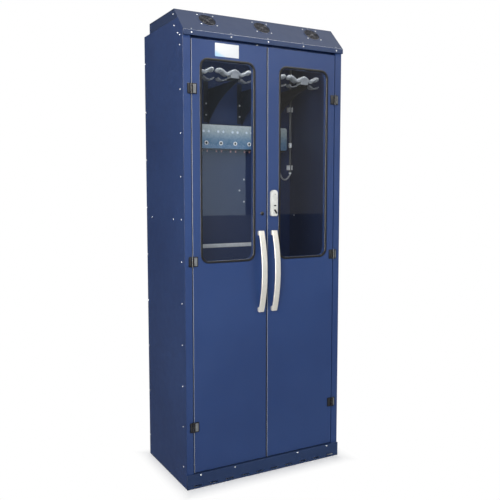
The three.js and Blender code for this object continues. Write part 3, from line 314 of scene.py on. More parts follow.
addCamera()
makeWorld()
makeFloor()
makeReflectors()
makeLamps()
bpy.context.scene.view_settings.view_transform = "Standard"
print("studio ready")


def tone(red, green, blue):
    # a colour as a screen shows it, 0 to 255, made linear
    def linear(value):
        share = value / 255
        return share / 12.92 if share <= 0.04045 else ((share + 0.055) / 1.055) ** 2.4
    return (linear(red), linear(green), linear(blue), 1)


def newMaterial(name):
    material = bpy.data.materials.new(name)
    material.use_nodes = True
    return material, material.node_tree


def setShader(tree, inputs):
    return setInputs(tree, tree.nodes["Principled BSDF"], inputs)


def objectPlace(tree, stretch=(1, 1, 1)):
    place = addNode(tree, "ShaderNodeTexCoord", {}).outputs["Object"]
    return addNode(tree, "ShaderNodeMapping", {"Vector": place, "Scale": stretch}).outputs[0]


def noise(tree, place, scale, detail=2.0):
    inputs = {"Vector": place, "Scale": scale, "Detail": detail, "Roughness": 0.5}
    return addNode(tree, "ShaderNodeTexNoise", inputs).outputs[0]


def ramp(tree, value, *stops):
    # stops: a place from 0 to 1 and its colour
    node = addNode(tree, "ShaderNodeValToRGB", {0: value})
    elements = node.color_ramp.elements
    while len(elements) < len(stops):
        elements.new(0.5)
    for element, (place, colour) in zip(elements, stops):
        element.position = place
        element.color = tone(*colour)
    return node.outputs[0]


def bump(tree, height, strength, distance):
    inputs = {"Height": height, "Strength": strength, "Distance": distance}
    return addNode(tree, "ShaderNodeBump", inputs).outputs[0]


# dark and light tone, roughness from and to, size of the soft colour patches,
# fine bumps as (grain, strength, depth), specular level, metal
finishes = {
    "bluePaint": [(36, 58, 104), (40, 63, 110), (0.36, 0.44), 2.2, (420, 0.1, 0.00012), 0.42, 0],
    "trimPaint": [(32, 50, 85), (36, 55, 91), (0.36, 0.44), 2.2, (420, 0.1, 0.00012), 0.42, 0],
    # a pale edge tone: painted highlight along the rounded folds
    "paintedEdgeHighlight": [(184, 189, 198), (196, 201, 208), (0.3, 0.4), 6, (420, 0.1, 0.0001), 0.45, 0],
    # a darker blue for the chamber's ceiling and floor panels: painted shade for the dim chamber
    "innerShadedPaint": [(32, 46, 82), (36, 52, 90), (0.42, 0.52), 2.2, (900, 0.03, 0.00008), 0.35, 0],
    "blackPaint": [(25, 27, 33), (34, 37, 45), (0.38, 0.52), 12, (800, 0.25, 0.00025), 0.4, 0],
    "blackPlastic": [(20, 21, 25), (28, 30, 36), (0.36, 0.52), 40, (1600, 0.3, 0.00012), 0.45, 0],
    "whitePlastic": [(226, 229, 232), (240, 242, 243), (0.16, 0.28), 25, (500, 0.05, 0.0002), 0.5, 0],
    # the same white plastic as the fittings, made darker: painted shade that the hanger lamp above brightens
    # only on top
    "hangerPlastic": [(176, 180, 184), (192, 196, 200), (0.14, 0.24), 25, (500, 0.05, 0.0002), 0.5, 0],
    "greyPlastic": [(128, 131, 136), (146, 149, 154), (0.24, 0.36), 25, (700, 0.1, 0.0002), 0.45, 0],
    "silverPlastic": [(190, 192, 187), (206, 208, 203), (0.26, 0.4), 30, (1200, 0.1, 0.00012), 0.5, 0],
    "pinkPlastic": [(206, 158, 158), (222, 178, 176), (0.28, 0.4), 60, (900, 0.05, 0.0001), 0.5, 0],
    "fanPlastic": [(38, 40, 50), (48, 51, 62), (0.36, 0.5), 40, (1600, 0.2, 0.0001), 0.45, 0],
    "hingePlastic": [(16, 17, 20), (24, 25, 29), (0.3, 0.42), 60, (1600, 0.2, 0.0001), 0.5, 0],
    # the hinge pad in a lit and a shaded copy: painted highlight and painted shade
    "hingePadPaintedHighlight": [(102, 104, 106), (122, 124, 125), (0.26, 0.38), 60, (1600, 0.1, 0.0001), 0.5, 0],
    "hingePadPaintedShade": [(38, 39, 41), (52, 52, 53), (0.3, 0.42), 60, (1600, 0.1, 0.0001), 0.5, 0],
    "palePlastic": [(196, 210, 224), (214, 226, 236), (0.24, 0.36), 60, (900, 0.05, 0.0001), 0.5, 0],
    # black rubber for the window seals, also used as painted shade on the door folds that turn into the gaps
    "sealRubber": [(18, 18, 19), (26, 26, 27), (0.3, 0.4), 30, (1400, 0.1, 0.0001), 0.6, 0],
    "rubber": [(16, 17, 19), (25, 26, 29), (0.55, 0.75), 30, (1400, 0.3, 0.00015), 0.35, 0],
    "zincSteel": [(150, 155, 162), (186, 190, 196), (0.28, 0.42), 90, (500, 0.08, 0.0001), 0.5, 1],
    "brightSteel": [(205, 208, 212), (228, 230, 233), (0.2, 0.32), 120, (900, 0.05, 0.0001), 0.5, 0.3],
}


def plainFinish(name, dark, light, rough, patch, fine, specular, metal):
    material, tree = newMaterial(name)
    place = objectPlace(tree)
    grain, strength, depth = fine
    setShader(tree, {
        "Base Color": ramp(tree, noise(tree, place, patch, 3), (0.35, dark), (0.65, light)),
        "Roughness": mapTo(tree, noise(tree, place, patch * 9, 4), *rough),
        "Normal": bump(tree, noise(tree, place, grain), strength, depth),
        "Specular IOR Level": specular,
        "Metallic": metal,
    })
    return material


# painted shade: darker colours for the shell's inner side, dark and light, standing in for the dim light
# inside the chamber
shadedInsides = {
    "sideShellShadedInside": [(28, 37, 62), (32, 42, 69)],
    "backShellShadedInside": [(32, 46, 82), (36, 52, 90)],
}
halfSheet = 0.00075


def shellPaintShadedInside(name, dark, light):
    # blue outside; the faces that look into the chamber get a darker blue, painted shade for the dim chamber
    material = plainFinish(name, *finishes["bluePaint"])
    tree = material.node_tree
    outside = tree.nodes["Principled BSDF"].inputs["Base Color"].links[0].from_socket
    # painted shade: the darker blue of the chamber's inner faces
    paintedShade = ramp(tree, noise(tree, objectPlace(tree), 3, 3), (0.35, dark), (0.65, light))
    x, y, z = objectAxes(tree)
    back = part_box("back_panel")[1]
    limits = [
        (compute(tree, "ABSOLUTE", x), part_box("right_side_panel")[1].x),
        (y, back.y),
        (z, back.z),
    ]
    past = [compute(tree, "GREATER_THAN", place, limit - halfSheet) for place, limit in limits]
    choice = {0: largest(tree, past), 6: paintedShade, 7: outside}
    mixed = addNode(tree, "ShaderNodeMix", choice, data_type="RGBA").outputs[2]
    setShader(tree, {"Base Color": mixed})
    return material


# scratches run along the axis with the smallest stretch
brushed = {
    "satinSteel": {
        "stretch": (2400, 300, 60), "dark": (186, 189, 192), "light": (222, 224, 226),
        "rough": (0.22, 0.38), "bump": 0.12, "metal": 0.85,
    },
    "handleAlloy": {
        "stretch": (1800, 500, 25), "dark": (203, 200, 192), "light": (222, 219, 211),
        "rough": (0.26, 0.4), "bump": 0.1, "metal": 0.25,
    },
    "traySteel": {
        "stretch": (60, 2400, 300), "dark": (186, 189, 192), "light": (222, 224, 226),
        "rough": (0.22, 0.38), "bump": 0.12, "metal": 0.85,
    },
}


def brushedMetal(name, facts):
    material, tree = newMaterial(name)
    scratches = noise(tree, objectPlace(tree, facts["stretch"]), 1, 3)
    setShader(tree, {
        "Base Color": ramp(tree, scratches, (0.3, facts["dark"]), (0.7, facts["light"])),
        "Roughness": mapTo(tree, scratches, *facts["rough"]),
        "Normal": bump(tree, scratches, facts["bump"], 0.0001),
        "Metallic": facts["metal"],
    })
    return material


def windowGlass():
    # lets light and shadow through; smears only roughen its gloss
    material, tree = newMaterial("windowGlass")
    smears = noise(tree, objectPlace(tree, (1, 1, 0.4)), 9, 5)
    glass = setShader(tree, {
        "Base Color": (0.93, 0.95, 0.97, 1),
        "IOR": 1.45,
        "Transmission Weight": 1,
        "Roughness": mapTo(tree, smears, 0.0, 0.05, 0.45, 0.8),
    })
    clear = addNode(tree, "ShaderNodeBsdfTransparent", {"Color": (0.96, 0.97, 0.98, 1)})
    soft = lightRays(tree, "Shadow", "Diffuse")
    surface = mixShaders(tree, soft, glass.outputs[0], clear.outputs[0])
    setInputs(tree, tree.nodes["Material Output"], {"Surface": surface})
    return material


def manifoldEnamel():
    # pale at the top of the plate and bluer towards its lower edge
    material, tree = newMaterial("manifoldEnamel")
    place = objectPlace(tree)
    low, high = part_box("manifold_face")
    height = mapTo(tree, objectAxes(tree)["Z"], 0, 1, low.z, high.z)
    stops = [
        (0.0, (88, 124, 160)),
        (0.35, (110, 142, 170)),
        (0.75, (162, 177, 184)),
        (1.0, (178, 188, 191)),
    ]
    setShader(tree, {
        "Base Color": ramp(tree, height, *stops),
        "Roughness": mapTo(tree, noise(tree, place, 60, 3), 0.22, 0.34),
        "Normal": bump(tree, noise(tree, place, 900), 0.05, 0.0001),
    })
    return material


def clearTube():
    material, tree = newMaterial("clearTube")
    place = objectPlace(tree, (1, 1, 0.15))
    stops = [(0.35, (120, 123, 128)), (0.65, (138, 141, 146))]
    setShader(tree, {
        "Base Color": ramp(tree, noise(tree, place, 30), *stops),
        "Roughness": mapTo(tree, noise(tree, place, 90), 0.12, 0.22),
        "Normal": bump(tree, noise(tree, place, 300), 0.05, 0.0002),
        "Transmission Weight": 0.5,
        "IOR": 1.45,
    })
    return material


def hoseVinyl():
    material, tree = newMaterial("hoseVinyl")
    place = objectPlace(tree)
    stops = [(0.35, (148, 151, 157)), (0.65, (166, 169, 175))]
    setShader(tree, {
        "Base Color": ramp(tree, noise(tree, place, 40), *stops),
        "Roughness": mapTo(tree, noise(tree, place, 160), 0.2, 0.34),
        "Normal": bump(tree, noise(tree, place, 700), 0.08, 0.0002),
        "Subsurface Weight": 0.15,
        "Subsurface Radius": (0.004, 0.004, 0.004),
    })
    return material


def pleatedPaper():
    material, tree = newMaterial("pleatedPaper")
    inputs = {"Vector": objectPlace(tree), "Scale": 60, "Distortion": 0.6}
    pleats = addNode(tree, "ShaderNodeTexWave", inputs, bands_direction="X").outputs["Fac"]
    setShader(tree, {
        "Base Color": ramp(tree, pleats, (0.2, (176, 176, 168)), (0.8, (224, 224, 216))),
        "Normal": bump(tree, pleats, 0.5, 0.002),
        "Roughness": mapTo(tree, pleats, 0.7, 0.85),
    })
    return material


def labelFilm(xs, zs):
    # a bare white plate whose lower left corner is washed with pale blue
    material, tree = newMaterial("labelFilm")
    place = objectPlace(tree)
    axes = objectAxes(tree)
    across = mapTo(tree, axes["X"], 0, 1, *xs)
    upward = mapTo(tree, axes["Z"], 0, 1, *zs)
    stops = [
        (0.0, (150, 186, 220)),
        (0.34, (176, 204, 230)),
        (0.52, (212, 215, 218)),
        (1.0, (216, 218, 220)),
    ]
    setShader(tree, {
        "Base Color": ramp(tree, compute(tree, "ADD", across, upward), *stops),
        "Roughness": mapTo(tree, noise(tree, place, 80, 3), 0.3, 0.42),
        "Normal": bump(tree, noise(tree, place, 500), 0.05, 0.0001),
    })
    return material


finish = {name: plainFinish(name, *facts) for name, facts in finishes.items()}
finish |= {name: shellPaintShadedInside(name, *tones) for name, tones in shadedInsides.items()}
finish |= {name: brushedMetal(name, facts) for name, facts in brushed.items()}
finish["windowGlass"] = windowGlass()
finish["manifoldEnamel"] = manifoldEnamel()
finish["clearTube"] = clearTube()
finish["hoseVinyl"] = hoseVinyl()
finish["pleatedPaper"] = pleatedPaper()
print("finishes ready:", len(finish))


def roundOff(bm, geometry, amount, segments, affect="EDGES"):
    # returns the faces that the rounding has made
    return bmesh.ops.bevel(
        bm, geom=geometry, offset=amount, offset_type="OFFSET", segments=segments, profile=0.5,
        affect=affect, material=-1, clamp_overlap=True,
    )["faces"]


def sharpEdges(bm, angle=50):
    limit = math.radians(angle)
    return [edge for edge in bm.edges if len(edge.link_faces) == 2 and edge.calc_face_angle() > limit]


def runsAlong(edge, axis):
    return abs((edge.verts[1].co - edge.verts[0].co).normalized()[axis]) > 0.99


def edgesOf(verts):
    return list({edge for vert in verts for edge in vert.link_edges})


def moveCopy(bm, grown, path):
    # carries off what an extrude has made, and turns all faces outwards
    made = [item for item in grown["geom"] if isinstance(item, bmesh.types.BMVert)]
    bmesh.ops.translate(bm, verts=made, vec=path)
    bmesh.ops.recalc_face_normals(bm, faces=bm.faces)


def spun(bm, geometry, steps):
    # a full turn round Z; like all small shapes it stays a loose mesh until a piece takes it up
    bmesh.ops.spin(
        bm, geom=geometry, cent=(0, 0, 0), axis=(0, 0, 1), angle=2 * math.pi, steps=steps, use_merge=True,
    )
    bmesh.ops.remove_doubles(bm, verts=bm.verts, dist=1e-6)
    bmesh.ops.recalc_face_normals(bm, faces=bm.faces)
    return looseMesh(bm)


def turned(profile, steps=24):
    # profile: (radius, height) points
    bm = bmesh.new()
    points = [bm.verts.new((radius, 0, height)) for radius, height in profile]
    edges = [bm.edges.new(pair) for pair in zip(points, points[1:])]
    return spun(bm, points + edges, steps)


def rod(radius, start, end, segments):
    bm = bmesh.new()
    start, end = Vector(start), Vector(end)
    bmesh.ops.create_cone(
        bm, cap_ends=True, segments=segments, radius1=radius, radius2=radius,
        depth=(end - start).length, matrix=facing((start + end) / 2, end - start),
    )
    return looseMesh(bm)


def bar(low, high):
    bm = bmesh.new()
    place = Matrix.Translation((low + high) / 2) @ Matrix.Diagonal((*(high - low), 1))
    bmesh.ops.create_cube(bm, size=1, matrix=place)
    return bm


def slab(low, high, corner=0.0, axis=1, edge=0.0):
    # corner rounds the four edges along one axis, edge softens all the others
    bm = bar(low, high)
    if corner:
        roundOff(bm, [e for e in bm.edges if runsAlong(e, axis)], corner, 6)
    if edge:
        roundOff(bm, [e for e in sharpEdges(bm) if not (corner and runsAlong(e, axis))], edge, 2)
    return looseMesh(bm)


def block(xs, depths, zs, **rounding):
    low = at(min(xs), min(depths), min(zs))
    high = at(max(xs), max(depths), max(zs))
    return slab(low, high, **rounding)


def addPiece(name, data, body, stands=()):
    piece = addObject(name, data)
    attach(piece, body)
    if stands:
        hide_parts(*stands)
    return piece


def dress(mesh, name, body, materials, stands=(), smooth=40):
    for material in materials if isinstance(materials, list) else [materials]:
        mesh.materials.append(finish[material])
    mesh.shade_smooth()
    mesh.set_sharp_from_angle(angle=math.radians(smooth))
    addPiece(name, mesh, body, stands)


def makePiece(name, parts, body, materials, stands=(), smooth=40):
    # parts: loose meshes, each alone or as (mesh, placement) or (mesh, placement, material number)
    bm = bmesh.new()
    for part in parts:
        mesh, placement, number = [*part, 0][:3] if isinstance(part, tuple) else (part, None, 0)
        knownVerts, knownFaces = len(bm.verts), len(bm.faces)
        bm.from_mesh(mesh)
        bm.verts.ensure_lookup_table()
        bm.faces.ensure_lookup_table()
        if placement:
            bmesh.ops.transform(bm, matrix=placement, verts=bm.verts[knownVerts:])
        for face in bm.faces[knownFaces:]:
            face.material_index = number
    dress(looseMesh(bm, name), name, body, materials, stands, smooth)


def mergedCopy(nodeName):
    # a node's mesh again, with its loose triangles merged to whole faces
    bm = bmesh.new()
    bm.from_mesh(nodes[nodeName].data)
    bmesh.ops.remove_doubles(bm, verts=bm.verts, dist=1e-6)
    bmesh.ops.dissolve_limit(bm, verts=bm.verts, edges=bm.edges, angle_limit=math.radians(0.5))
    return bm


# what the CAD nodes wear, by the longest of these words in a node's name
nodeFinishes = {
    "side_panel": "sideShellShadedInside",
    "door_post": "bluePaint",
    "front_header": "bluePaint",
    "back_panel": "backShellShadedInside",
    "ceiling_panel": "innerShadedPaint",
    "floor_panel": "innerShadedPaint",
    "kick_panel": "trimPaint",
    "hood_shell": "trimPaint",
    "door_panel": "bluePaint",
    "door_seal": "rubber",
    "gasket": "rubber",
    "pane": "windowGlass",
    "manifold_body": "blackPlastic",
    "manifold_face": "manifoldEnamel",
    "air_hose": "hoseVinyl",
    "riser_tube": "clearTube",
    "tube_clip": "whitePlastic",
    "air_pump": "zincSteel",
    "air_filter": "pleatedPaper",
    "power_inlet": "blackPlastic",
    "drip_tray": "traySteel",
    "hanger_bracket": "blackPaint",
    "scope_hanger": "whitePlastic",
    "fan_": "blackPlastic",
    "hinge": "blackPlastic",
    "handle": "satinSteel",
    "strike_plate": "blackPlastic",
    "top_bolt": "zincSteel",
    "lock_cam": "zincSteel",
    "lock_knob": "blackPlastic",
    "lock_housing": "silverPlastic",
}


def finishNodes():
    for name, thing in nodes.items():
        words = [word for word in nodeFinishes if word in name]
        material = finish[nodeFinishes[max(words, key=len)]]
        if not thing.material_slots:
            thing.data.materials.append(material)
        for place in thing.material_slots:
            place.material = material


finishNodes()
print("frame finished")


def foldTone(face, onDoor):
    # which of a sheet's three tones a rounded fold takes: plain paint, a pale painted highlight on
    # left-facing door folds and the eave fold, or black rubber as painted shade on the door folds that turn
    # into the gaps
    paint, paintedHighlight, paintedGapShade = 0, 1, 2
    normal = face.normal
    across = [vert.co.x for vert in face.verts]
    if onDoor:
        atMiddle = normal.x > 0.15 and min(across) > -0.02 and max(across) < 0
        # folds turning into the gaps, and both folds at the middle gap, get black rubber as painted shade
        if normal.y > -0.9 or atMiddle:
            return paintedGapShade
        # left-facing door folds get a pale painted highlight
        return paintedHighlight if normal.x < -0.15 and abs(normal.z) < 0.3 else paint
    # the eave fold gets a pale painted highlight
    atEave = 0.4 < normal.z < 0.52 and normal.y < -0.8 and max(across) - min(across) > 0.5
    return paintedHighlight if atEave else paint


def softCopy(nodeName, pieceName, body, material, amount, longerThan, frontOnly=False):
    # a CAD panel again, with the outer folds that are long enough rounded off; the rounded folds take the
    # paint, a pale painted highlight or black painted gap shade
    bm = mergedCopy(nodeName)
    low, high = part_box(nodeName)
    middle = (low + high) / 2

    def outer(face):
        return face.normal.dot(face.calc_center_median() - middle) > 0

    folds = [
        edge for edge in sharpEdges(bm, 30)
        if edge.is_convex and edge.calc_length() > longerThan and all(map(outer, edge.link_faces))
    ]
    if frontOnly:
        folds = [edge for edge in folds if all(vert.co.y < low.y + 1e-5 for vert in edge.verts)]
    rounded = set(roundOff(bm, folds, amount, 4))
    for face in rounded:
        face.material_index = foldTone(face, frontOnly)
    bm.faces.index_update()
    sheets = [face.index for face in bm.faces if face not in rounded and face.calc_area() > 0.0005]
    mesh = looseMesh(bm, pieceName)
    dress(mesh, pieceName, body, [material, "paintedEdgeHighlight", "sealRubber"], [nodeName], 45)
    for index in sheets:
        mesh.polygons[index].use_smooth = False


def makeSheets():
    softCopy("hood_shell", "hoodCover", "body", "trimPaint", 0.003, 0.02)
    softCopy("kick_panel", "kickCover", "body", "trimPaint", 0.0012, 0.06)
    for side in sides:
        door = f"{side}_door"
        softCopy(f"{door}_panel", f"{side}DoorSkin", door, "bluePaint", 0.003, 0.1, True)
    for side in sides:
        softCopy(f"{side}_side_panel", f"{side}SideSkin", "body", "sideShellShadedInside", 0.0014, 0.2)
    softCopy("drip_tray", "dripTray", "body", "traySteel", 0.001, 0.1)


makeSheets()
print("sheets made")

window = {
    "radius": 0.045, "width": 0.011, "rearInset": 0.001, "coverInset": 0.0063, "web": 0.0004,
    "roll": 0.0013, "gap": 0.0001,
}


def windowRing(low, high, inset, width, depths, roll):
    # a flat ring with round corners, pushed to its thickness
    centre = Vector(((low.x + high.x) / 2, frontY + depths[0], (low.z + high.z) / 2))
    size = Matrix.Diagonal((high.x - low.x - 2 * inset, high.z - low.z - 2 * inset, 1, 1))
    bm = sheet(Matrix.Translation(centre) @ Matrix.Rotation(math.pi / 2, 4, "X") @ size)
    roundOff(bm, bm.verts[:], window["radius"] - inset, 14, "VERTICES")
    outerFace = bm.faces[:]
    bmesh.ops.inset_region(bm, faces=outerFace, thickness=width, use_boundary=True, use_even_offset=True)
    bmesh.ops.delete(bm, geom=outerFace, context="FACES")
    grown = bmesh.ops.extrude_face_region(bm, geom=bm.faces[:], use_keep_orig=True)
    moveCopy(bm, grown, (0, depths[1] - depths[0], 0))
    if roll:
        roundOff(bm, sharpEdges(bm, 60), roll, 3)
    return looseMesh(bm)


def makeWindowSeals():
    inset, width, roll = window["rearInset"], window["width"], window["roll"]
    for side in sides:
        node = f"{side}_window_gasket"
        low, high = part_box(node)
        start, end = depthsOf(node)
        paneFront, paneRear = depthsOf(f"{side}_window_pane")
        front = (start, paneFront - window["gap"])
        rear = (paneRear + window["gap"], end)
        parts = [
            windowRing(low, high, 0, width, front, roll),
            windowRing(low, high, inset, width - inset, rear, roll / 2),
            windowRing(low, high, window["coverInset"], window["web"], (front[1], rear[0]), 0),
        ]
        makePiece(f"{side}WindowSeal", parts, f"{side}_door", "sealRubber", [node], 50)


makeWindowSeals()
print("window seals made")

hood = {"lipDepth": -0.012, "apexDepth": 0.1, "eave": 2.228, "top": 2.345}
slopeAngle = math.atan2(hood["top"] - hood["eave"], hood["apexDepth"] - hood["lipDepth"])
fan = {
    "pitch": 0.304, "rise": 0.099, "half": 0.046, "bore": 0.044, "corner": 0.004,
    "front": -0.0018, "rear": -0.0268, "sides": 48,
    "rimOuter": 0.0496, "rimInner": 0.0434, "rimHigh": 0.0012, "rimLedge": 0.0034,
    "wire": 0.0009, "rings": [0.041, 0.0345, 0.028, 0.0215, 0.015], "hub": 0.009, "guardLevel": -0.0008,
    "motor": 0.019, "strut": 0.0018, "strutLevel": -0.0248, "spokeTurn": 45,
    "screwPitch": 0.0415, "screwRise": 0.0385, "screw": 0.0036, "cup": 0.018,
}
blade = {
    "count": 7, "thick": 0.0012, "level": -0.0122, "inset": 0.001, "tipGap": 0.0022,
    "chord": 0.017, "widens": 0.009, "pitch": 50, "untwists": 21, "camber": 0.09,
}


def slopePlace(x, rise):
    # x across and rise up the slope from the eave, with z square to the sheet
    along = hood["lipDepth"] + rise * math.cos(slopeAngle)
    level = hood["eave"] + rise * math.sin(slopeAngle)
    return Matrix.Translation(at(x, along, level)) @ Matrix.Rotation(slopeAngle, 4, "X")


def squareLoop(bm, level):
    # a circle of points pressed out to a square with round corners
    half, corner = fan["half"], fan["corner"]
    inner = half - corner
    made = bmesh.ops.create_circle(bm, segments=fan["sides"], radius=half)["verts"]
    for vert in made:
        scale = half / max(abs(vert.co.x), abs(vert.co.y))
        x, y = vert.co.x * scale, vert.co.y * scale
        if abs(x) > inner and abs(y) > inner:
            centre = Vector((math.copysign(inner, x), math.copysign(inner, y)))
            x, y = centre + (Vector((x, y)) - centre).normalized() * corner
        vert.co = Vector((x, y, level))
    return edgesOf(made)


def roundLoop(bm, radius, level):
    place = Matrix.Translation((0, 0, level))
    return edgesOf(bmesh.ops.create_circle(bm, segments=fan["sides"], radius=radius, matrix=place)["verts"])


def fanDuct():
    bm = bmesh.new()
    loops = [
        squareLoop(bm, fan["rear"]),
        squareLoop(bm, fan["front"]),
        roundLoop(bm, fan["bore"], fan["front"]),
        roundLoop(bm, fan["bore"], fan["rear"]),
    ]
    for first, second in zip(loops, loops[1:] + loops[:1]):
        bmesh.ops.bridge_loops(bm, edges=first + second)
    bmesh.ops.recalc_face_normals(bm, faces=bm.faces)
    return looseMesh(bm)


def wireRing(radius):
    bm = bmesh.new()
    upright = Matrix.Translation((radius, 0, 0)) @ Matrix.Rotation(math.pi / 2, 4, "X")
    made = bmesh.ops.create_circle(bm, segments=8, radius=fan["wire"], matrix=upright)["verts"]
    return spun(bm, made + edgesOf(made), fan["sides"])


def fanHousing():
    # duct, wire guard and motor plate, held by four spokes and four struts
    still = Matrix()
    wire, hub, bore, level = fan["wire"], fan["hub"], fan["bore"], fan["guardLevel"]
    motor, strutLevel = fan["motor"], fan["strutLevel"]
    parts = [(fanDuct(), still)]
    parts += [(wireRing(radius), Matrix.Translation((0, 0, level))) for radius in fan["rings"]]
    spoke = rod(wire, (hub - overlap, 0, level), (bore + 0.0005, 0, level), 8)
    strut = rod(fan["strut"], (motor - overlap, 0, strutLevel), (bore + 0.0006, 0, strutLevel), 8)
    for quarter in range(4):
        turn = Matrix.Rotation(math.radians(fan["spokeTurn"] + 90 * quarter), 4, "Z")
        parts += [(spoke, turn), (strut, turn)]
    disc = [(0, -0.0016), (hub, -0.0016), (hub, -0.0004), (hub - 0.001, 0), (0, 0)]
    plate = [(0, -0.0266), (motor, -0.0266), (motor, -0.0236), (0, -0.0236)]
    return parts + [(turned(disc, 32), still), (turned(plate), still)]


def fanRim():
    outer, inner, low, high = fan["rimOuter"], fan["rimInner"], fan["front"], fan["rimHigh"]
    ledge = outer - fan["rimLedge"]
    profile = [
        (inner, low), (ledge, low), (ledge, 0), (outer, 0), (outer, high * 0.5),
        (outer - 0.0008, high), (inner + 0.001, high), (inner, high * 0.5), (inner, low),
    ]
    return turned(profile, fan["sides"])


def fanBlade():
    # a flat grid bent to a cambered, twisted blade, then given its thickness
    bm = bmesh.new()
    bmesh.ops.create_grid(bm, x_segments=8, y_segments=6, size=0.5)
    root = fan["cup"] - blade["inset"]
    for vert in bm.verts:
        share = vert.co.y + 0.5
        radius = root + share * (fan["bore"] - blade["tipGap"] - fan["cup"])
        chord = blade["chord"] + share * blade["widens"]
        pitch = math.radians(blade["pitch"] - blade["untwists"] * share)
        along = vert.co.x * chord
        camber = chord * blade["camber"] * (1 - 4 * vert.co.x ** 2)
        across = along * math.cos(pitch) - camber * math.sin(pitch)
        rise = along * math.sin(pitch) + camber * math.cos(pitch)
        vert.co = (math.sqrt(radius ** 2 - across ** 2), across, rise + blade["level"])
    bmesh.ops.solidify(bm, geom=bm.faces[:], thickness=blade["thick"])
    bmesh.ops.recalc_face_normals(bm, faces=bm.faces)
    return looseMesh(bm)


def fanRotor():
    cup = fan["cup"]
    profile = [
        (0, -0.0214), (cup - 0.001, -0.0214), (cup, -0.0204), (cup, -0.0052), (cup - 0.002, -0.0034),
        (0.006, -0.0031), (0, -0.0031),
    ]
    parts = [(turned(profile, 32), Matrix())]
    for number in range(blade["count"]):
        parts.append((fanBlade(), Matrix.Rotation(2 * math.pi * number / blade["count"], 4, "Z")))
    return parts


def makeFans():
    for number, index in enumerate([-1, 0, 1], 1):
        x = index * fan["pitch"]
        place = slopePlace(x, fan["rise"])
        makePiece(f"fanRim{number}", [(fanRim(), place)], "body", "trimPaint")
        housing = [(mesh, place @ own) for mesh, own in fanHousing()]
        stands = [f"fan_frame_{number}"]
        makePiece(f"fanHousing{number}", housing, "body", "fanPlastic", stands)
        rotor = [(mesh, place @ own) for mesh, own in fanRotor()]
        stands = [f"fan_rotor_{number}"]
        makePiece(f"fanRotor{number}", rotor, f"fan_{number}", "blackPlastic", stands, 50)
        head = panHead(fan["screw"])
        corners = [(across, up) for across in (-1, 1) for up in (-1, 1)]
        heads = [
            (head, slopePlace(x + across * fan["screwPitch"], fan["rise"] + up * fan["screwRise"]))
            for across, up in corners
        ]
        makePiece(f"fanScrews{number}", heads, "body", "brightSteel")


def rivetHead(radius):
    # low dome with the small dimple that a pulled mandrel leaves
    high = radius * 0.42
    profile = [
        (0, 0), (radius, 0), (radius, high * 0.22), (radius * 0.9, high * 0.6), (radius * 0.66, high * 0.9),
        (radius * 0.36, high), (radius * 0.24, high * 0.72), (0, high * 0.72),
    ]
    return turned(profile, 16)


def panHead(radius):
    # round screw head with a sunk centre
    high = radius * 0.5
    profile = [
        (0, 0), (radius, 0), (radius, high * 0.45), (radius * 0.86, high * 0.85), (radius * 0.55, high),
        (radius * 0.34, high), (radius * 0.28, high * 0.45), (0, high * 0.4),
    ]
    return turned(profile, 18)


rivet = {
    "radius": 0.004, "smaller": 0.7,
    "columns": [
        {"depth": 0.038, "first": 0.106, "step": 0.2058, "count": 11},
        {"depth": 0.511, "first": 0.114, "step": 0.255, "count": 9},
    ],
    "row": [(0.137, 1.34), (0.435, 1.34)],
    "cheek": [(0.112, 2.322), (0.104, 2.266), (0.06, 2.223), (0.036, 2.21)],
    "lipX": (-0.416, -0.208, 0, 0.208, 0.416), "lipZ": 2.216, "slopeRise": 0.009,
    "kickX": (-0.383, -0.1915, 0.1915, 0.383), "kickZ": 0.067, "kickDepth": -0.01,
    "apexX": (-0.304, 0.304), "apexRise": 0.1572,
}


def makeRivets():
    head = rivetHead(rivet["radius"])
    places = []
    for column in rivet["columns"]:
        for index in range(column["count"]):
            places.append((column["depth"], column["first"] + index * column["step"]))
    places += rivet["row"] + rivet["cheek"]
    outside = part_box("right_side_panel")[1].x
    for name, side in sides.items():
        parts = [(head, facing(at(side * outside, depth, z), (side, 0, 0))) for depth, z in places]
        makePiece(f"{name}Rivets", parts, "body", "brightSteel")
    parts = [(head, onFront(x, hood["lipDepth"], rivet["lipZ"])) for x in rivet["lipX"]]
    parts += [(head, onFront(x, rivet["kickDepth"], rivet["kickZ"])) for x in rivet["kickX"]]
    makePiece("frontRivets", parts, "body", "brightSteel")
    small = rivetHead(rivet["radius"] * rivet["smaller"])
    parts = [(small, slopePlace(x, rivet["slopeRise"])) for x in rivet["lipX"]]
    parts += [(small, slopePlace(x, rivet["apexRise"])) for x in rivet["apexX"]]
    makePiece("eaveRivets", parts, "body", "zincSteel")


innerScrew = {
    "radius": 0.0052, "flangeZ": (1.968, 1.905), "wall": [(0.136, 1.545), (0.106, 1.481), (0.136, 1.416)],
    "sideDepth": 0.422, "sideZ": 1.334,
}
hangerNumbers = range(1, 5)


def makeInnerScrews():
    head = panHead(innerScrew["radius"])
    places = []
    for number in hangerNumbers:
        x = middleX(f"scope_hanger_{number}")
        flange = depthsOf(f"hanger_bracket_{number}")[1] - bracket["thick"]
        places += [onFront(x, flange, z) for z in innerScrew["flangeZ"]]
    places += [onFront(x, wallDepth, z) for x, z in innerScrew["wall"]]
    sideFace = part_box("right_side_panel")[0].x
    places.append(facing(at(sideFace, innerScrew["sideDepth"], innerScrew["sideZ"]), (-1, 0, 0)))
    makePiece("innerScrews", [(head, place) for place in places], "body", "brightSteel")


hinge = {
    "x": 0.417, "depth": -0.0065, "height": 0.05, "knuckles": 5, "radius": 0.005, "soft": 0.0005,
    "pin": 0.0035, "pinProud": 0.0015, "doorLeaf": 0.029, "frameLeaf": 0.02, "plate": 0.003,
    "clear": 0.0008, "gap": 0.0003, "corner": 0.004,
    "padStart": 0.002, "padInset": 0.0045, "padProud": 0.0012, "padCorner": 0.003,
}


def knuckle(low, high):
    soft, radius = hinge["soft"], hinge["radius"]
    profile = [
        (0, low), (radius - soft, low), (radius, low + soft), (radius, high - soft),
        (radius - soft, high), (0, high),
    ]
    return turned(profile)


